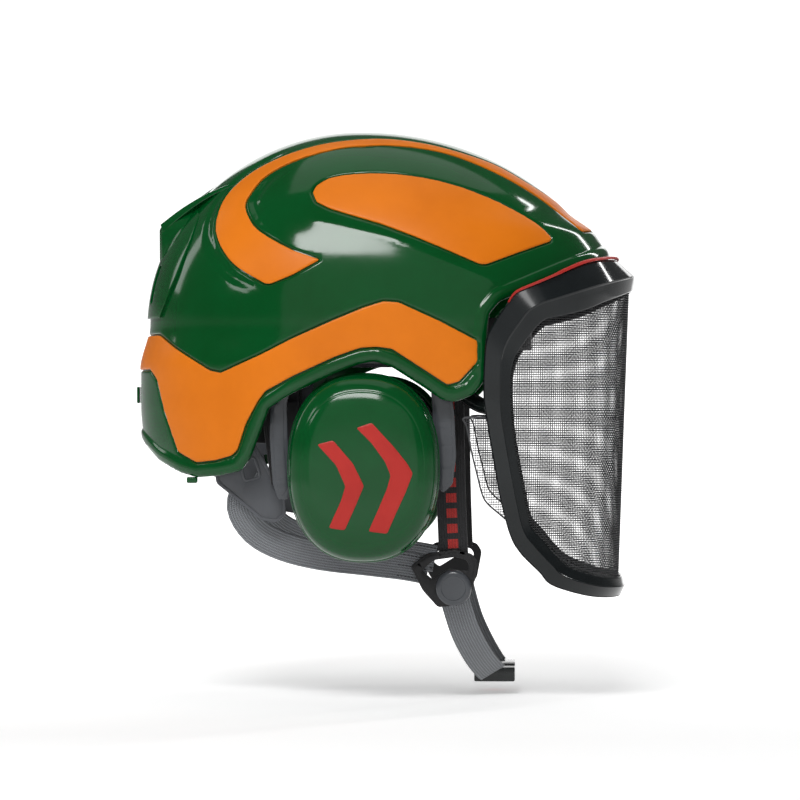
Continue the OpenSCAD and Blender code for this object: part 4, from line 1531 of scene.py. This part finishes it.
def arc_pad(outer, inner, low, high, keep, seed, seams=0):
    """Stuffed strip along the headband's curve with rolled edges and cross seams."""
    steps = 720
    line = band_line((outer + inner) / 2, steps)
    order = np.argsort(np.degrees(np.arctan2(line[:, 1], line[:, 0])) % 360)
    line = line[order]
    if keep[1] > 100:
        line = np.roll(line, steps // 2, 0)
    line = line[(line[:, 0] > keep[0]) & (line[:, 0] < keep[1])]
    ahead = directions(np.c_[line, np.zeros(len(line))])
    out = np.cross(ahead, [0, 0, 1.0])
    thick, middle, half = (outer - inner) / 2, (low + high) / 2, (high - low) / 2
    run = run_along(line)
    share = run / run[-1]
    end = np.sqrt(np.clip(np.minimum(share, 1 - share) / 0.02, 0, 1)) * 0.75 + 0.25
    t = np.linspace(0, 2 * np.pi, 32, endpoint=False)
    rings = []
    for k, (x, y) in enumerate(line):
        dip = 1.0
        for s in range(seams):
            away = (share[k] - (s + 1) / (seams + 1)) * run[-1]
            dip -= 0.4 * math.exp(-((away / 1.1) ** 2))
        across = thick * spow(np.cos(t), 0.7) * end[k] * dip
        up = half * spow(np.sin(t), 0.55) * (0.9 + 0.1 * end[k])
        p = np.array([x, y, middle]) + out[k] * across[:, None]
        p += np.array([0, 0, 1.0]) * up[:, None]
        p += out[k] * (0.15 * wave(p, 9.0, seed) * (np.abs(np.cos(t)) > 0.5))[:, None]
        rings.append(p)
    return loft(rings)


ALONG_X, ALONG_Y, ALONG_Z = (1, 0, 0), (0, 1, 0), (0, 0, 1)
crown_pad = cushion_block(
    30, 24, np.array([0, 0, 71.0]), (ALONG_X, ALONG_Y, ALONG_Z), 6.0, 0.4
)
side_pads = joined([
    cushion_block(
        34, 9, np.array([-6, k * 66.5, 20]), (ALONG_X, ALONG_Z, ALONG_Y), 5.0, 1.0 + k
    )
    for k in SIDES.values()
])
brow_pad = arc_pad(-0.4, -4.9, -11, 5, (45, 110), 2.2, seams=5)
nape_pad = arc_pad(5.2, 1.1, -65, -45, (-100, -70), 3.1, seams=3)
for name, shape, body, node, fill in (
    ("crown_cushion", crown_pad, "shell", "crown_pad", 0.6),
    ("side_cushions", side_pads, "shell", "side_pads", 0.6),
    ("brow_cushion", brow_pad, "shell", "sweatband", 0.55),
    ("nape_cushion", nape_pad, "nape_cradle", "nape_pad", 0.6),
):
    pad = piece(name, shape, body, "foam", PAD_CLOTH, [node], sharp=60)

# Pieces made from the CAD forms: slot, material and width of the rounding
SOFT = {
    "rear_hooks": ("shell_green", GREEN, 0.9),
    "headband": ("black_plastic", BLACK, 0.5),
    "anchor_rivets": ("steel", STEEL, 0.4),
    "nape_cradle": ("black_plastic", BLACK, 0.6),
    "nape_knob": ("grey_plastic", GREY, 0.8),
    "nape_pinion": ("steel", STEEL, 0.25),
    "nape_rack_right": ("black_plastic", BLACK, 0.4),
    "nape_rack_left": ("black_plastic", BLACK, 0.4),
    "visor_pins": ("steel", STEEL, 0.3),
    "visor_bushes": ("grey_plastic", GREY, 0.4),
    "fork_pins_right": ("steel", STEEL, 0.25),
    "fork_pins_left": ("steel", STEEL, 0.25),
    "muff_carrier_right": ("black_plastic", BLACK, 0.6),
    "muff_carrier_left": ("black_plastic", BLACK, 0.6),
    "muff_bracket_right": ("grey_plastic", GREY, 0.6),
    "muff_bracket_left": ("grey_plastic", GREY, 0.6),
    "buckle_socket": ("black_plastic", GLOSS, 1.1),
    "buckle_tongue": ("black_plastic", GLOSS, 1.1),
    "buckle_button": ("signal_red", RED, 0.5),
}
for node, (slot, material, width) in SOFT.items():
    softened_copy(node, material, width)

# ------------------------------------------------------------------ floor, lights and camera


def aimed(obj, target):
    obj.rotation_mode = "QUATERNION"
    obj.rotation_quaternion = (Vector(target) - obj.location).to_track_quat("-Z", "Y")


def soft_light(name, place, target, size, power):
    data = bpy.data.lights.new(name, "AREA")
    data.shape = "RECTANGLE"
    data.size, data.size_y = size
    data.energy = power
    obj = bpy.data.objects.new(name, data)
    obj.location = place
    bpy.context.scene.collection.objects.link(obj)
    aimed(obj, target)
    return obj


# The floor is pale, and grows brighter behind the helmet
FLOOR_Z, FLOOR_EDGE = -0.2165, 1.4
turns = np.radians(np.arange(0, 360, 3))
floor_mesh = bpy.data.meshes.new("floor")
floor_mesh.from_pydata(
    [(FLOOR_EDGE * math.cos(a), FLOOR_EDGE * math.sin(a), FLOOR_Z) for a in turns],
    [], [tuple(range(len(turns)))],
)
floor = bpy.data.objects.new("floor", floor_mesh)
bpy.context.scene.collection.objects.link(floor)
floor_material, nodes, links, shader, place = graph("pale_floor")
tint = noise(nodes, links, place, 3.0)
drifting(nodes, links, shader, tint, (0.84, 0.84, 0.84), (0.87, 0.87, 0.87))
shader.inputs["Roughness"].default_value = 0.9
shader.inputs["Specular IOR Level"].default_value = 0.1
split = nodes.new("ShaderNodeSeparateXYZ")
links.new(place, split.inputs["Vector"])
shader.inputs["Emission Color"].default_value = (1.0, 1.0, 1.0, 1.0)
bright = spread(nodes, links, split.outputs["Y"], 0.2, 0.9, -0.25, 0.7)
links.new(bright, shader.inputs["Emission Strength"])
floor_mesh.materials.append(floor_material)


# Strength of the world below the horizon and above it
WORLD_LOW, WORLD_HIGH = 0.6, 0.12


def studio_world():
    """White backdrop at eye level, brightest behind the helmet, and a dim room above."""
    world = bpy.context.scene.world or bpy.data.worlds.new("studio")
    bpy.context.scene.world = world
    world.use_nodes = True
    nodes, links = world.node_tree.nodes, world.node_tree.links
    background = nodes["Background"]
    place = nodes.new("ShaderNodeTexCoord")
    split = nodes.new("ShaderNodeSeparateXYZ")
    links.new(place.outputs["Generated"], split.inputs["Vector"])
    behind = spread(nodes, links, split.outputs["Y"], 0.0, 1.0, 0.945, 0.968)
    rise = maths(nodes, links, "ABSOLUTE", split.outputs["Z"])
    wall = spread(nodes, links, rise, 1.0, 0.0, 0.19, 0.3)
    glow = maths(nodes, links, "MULTIPLY", behind, wall)
    under = spread(nodes, links, split.outputs["Z"], WORLD_LOW, WORLD_HIGH, -0.02, 0.12)
    total = maths(nodes, links, "ADD", glow, under)
    background.inputs["Color"].default_value = (1.0, 1.0, 1.0, 1.0)
    links.new(total, background.inputs["Strength"])


studio_world()

TARGET = (0.021, 0.0, -0.042)
soft_light("key", (-0.32, -1.55, 1.5), (0.0, -0.08, 0.03), (1.25, 0.5), 34)
soft_light("fill", (0.2, -2.5, 0.4), (0.02, -0.05, -0.03), (3.6, 2.6), 12)
soft_light("top", (0.1, 0.3, 1.9), (0, 0, 0), (1.6, 1.6), 6)
soft_light("glint", (1.05, 0.8, 0.85), (0.13, -0.05, 0.02), (0.07, 0.9), 4)
soft_light("tail", (-1.35, -0.9, 0.75), (-0.1, 0, 0.04), (0.35, 0.35), 2.2)
soft_light("rear", (-1.5, 0.5, 0.8), (-0.1, 0, 0), (0.25, 0.9), 2)
soft_light("far_side", (0.0, 2.2, 0.9), (0, 0, 0), (1.6, 0.8), 7)
corner = soft_light("corner", (0.71, -1.51, 0.71), (0.1, -0.1, 0.0), (0.5, 0.45), 6)
visor_only = bpy.data.collections.new("visor_only")
visor_only.objects.link(bpy.data.objects["visor_rim"])
corner.light_linking.receiver_collection = visor_only

CAMERA_AWAY, CAMERA_TURN = 1.855, 2.5
camera_data = bpy.data.cameras.new("camera")
camera_data.lens = 139.0
camera_data.sensor_width = 36.0
camera = bpy.data.objects.new("camera", camera_data)
turn = math.radians(CAMERA_TURN)
camera.location = Vector(TARGET) + CAMERA_AWAY * Vector((math.sin(turn), -math.cos(turn), 0))
bpy.context.scene.collection.objects.link(camera)
aimed(camera, TARGET)
bpy.context.scene.camera = camera
bpy.context.scene.view_settings.view_transform = "Standard"
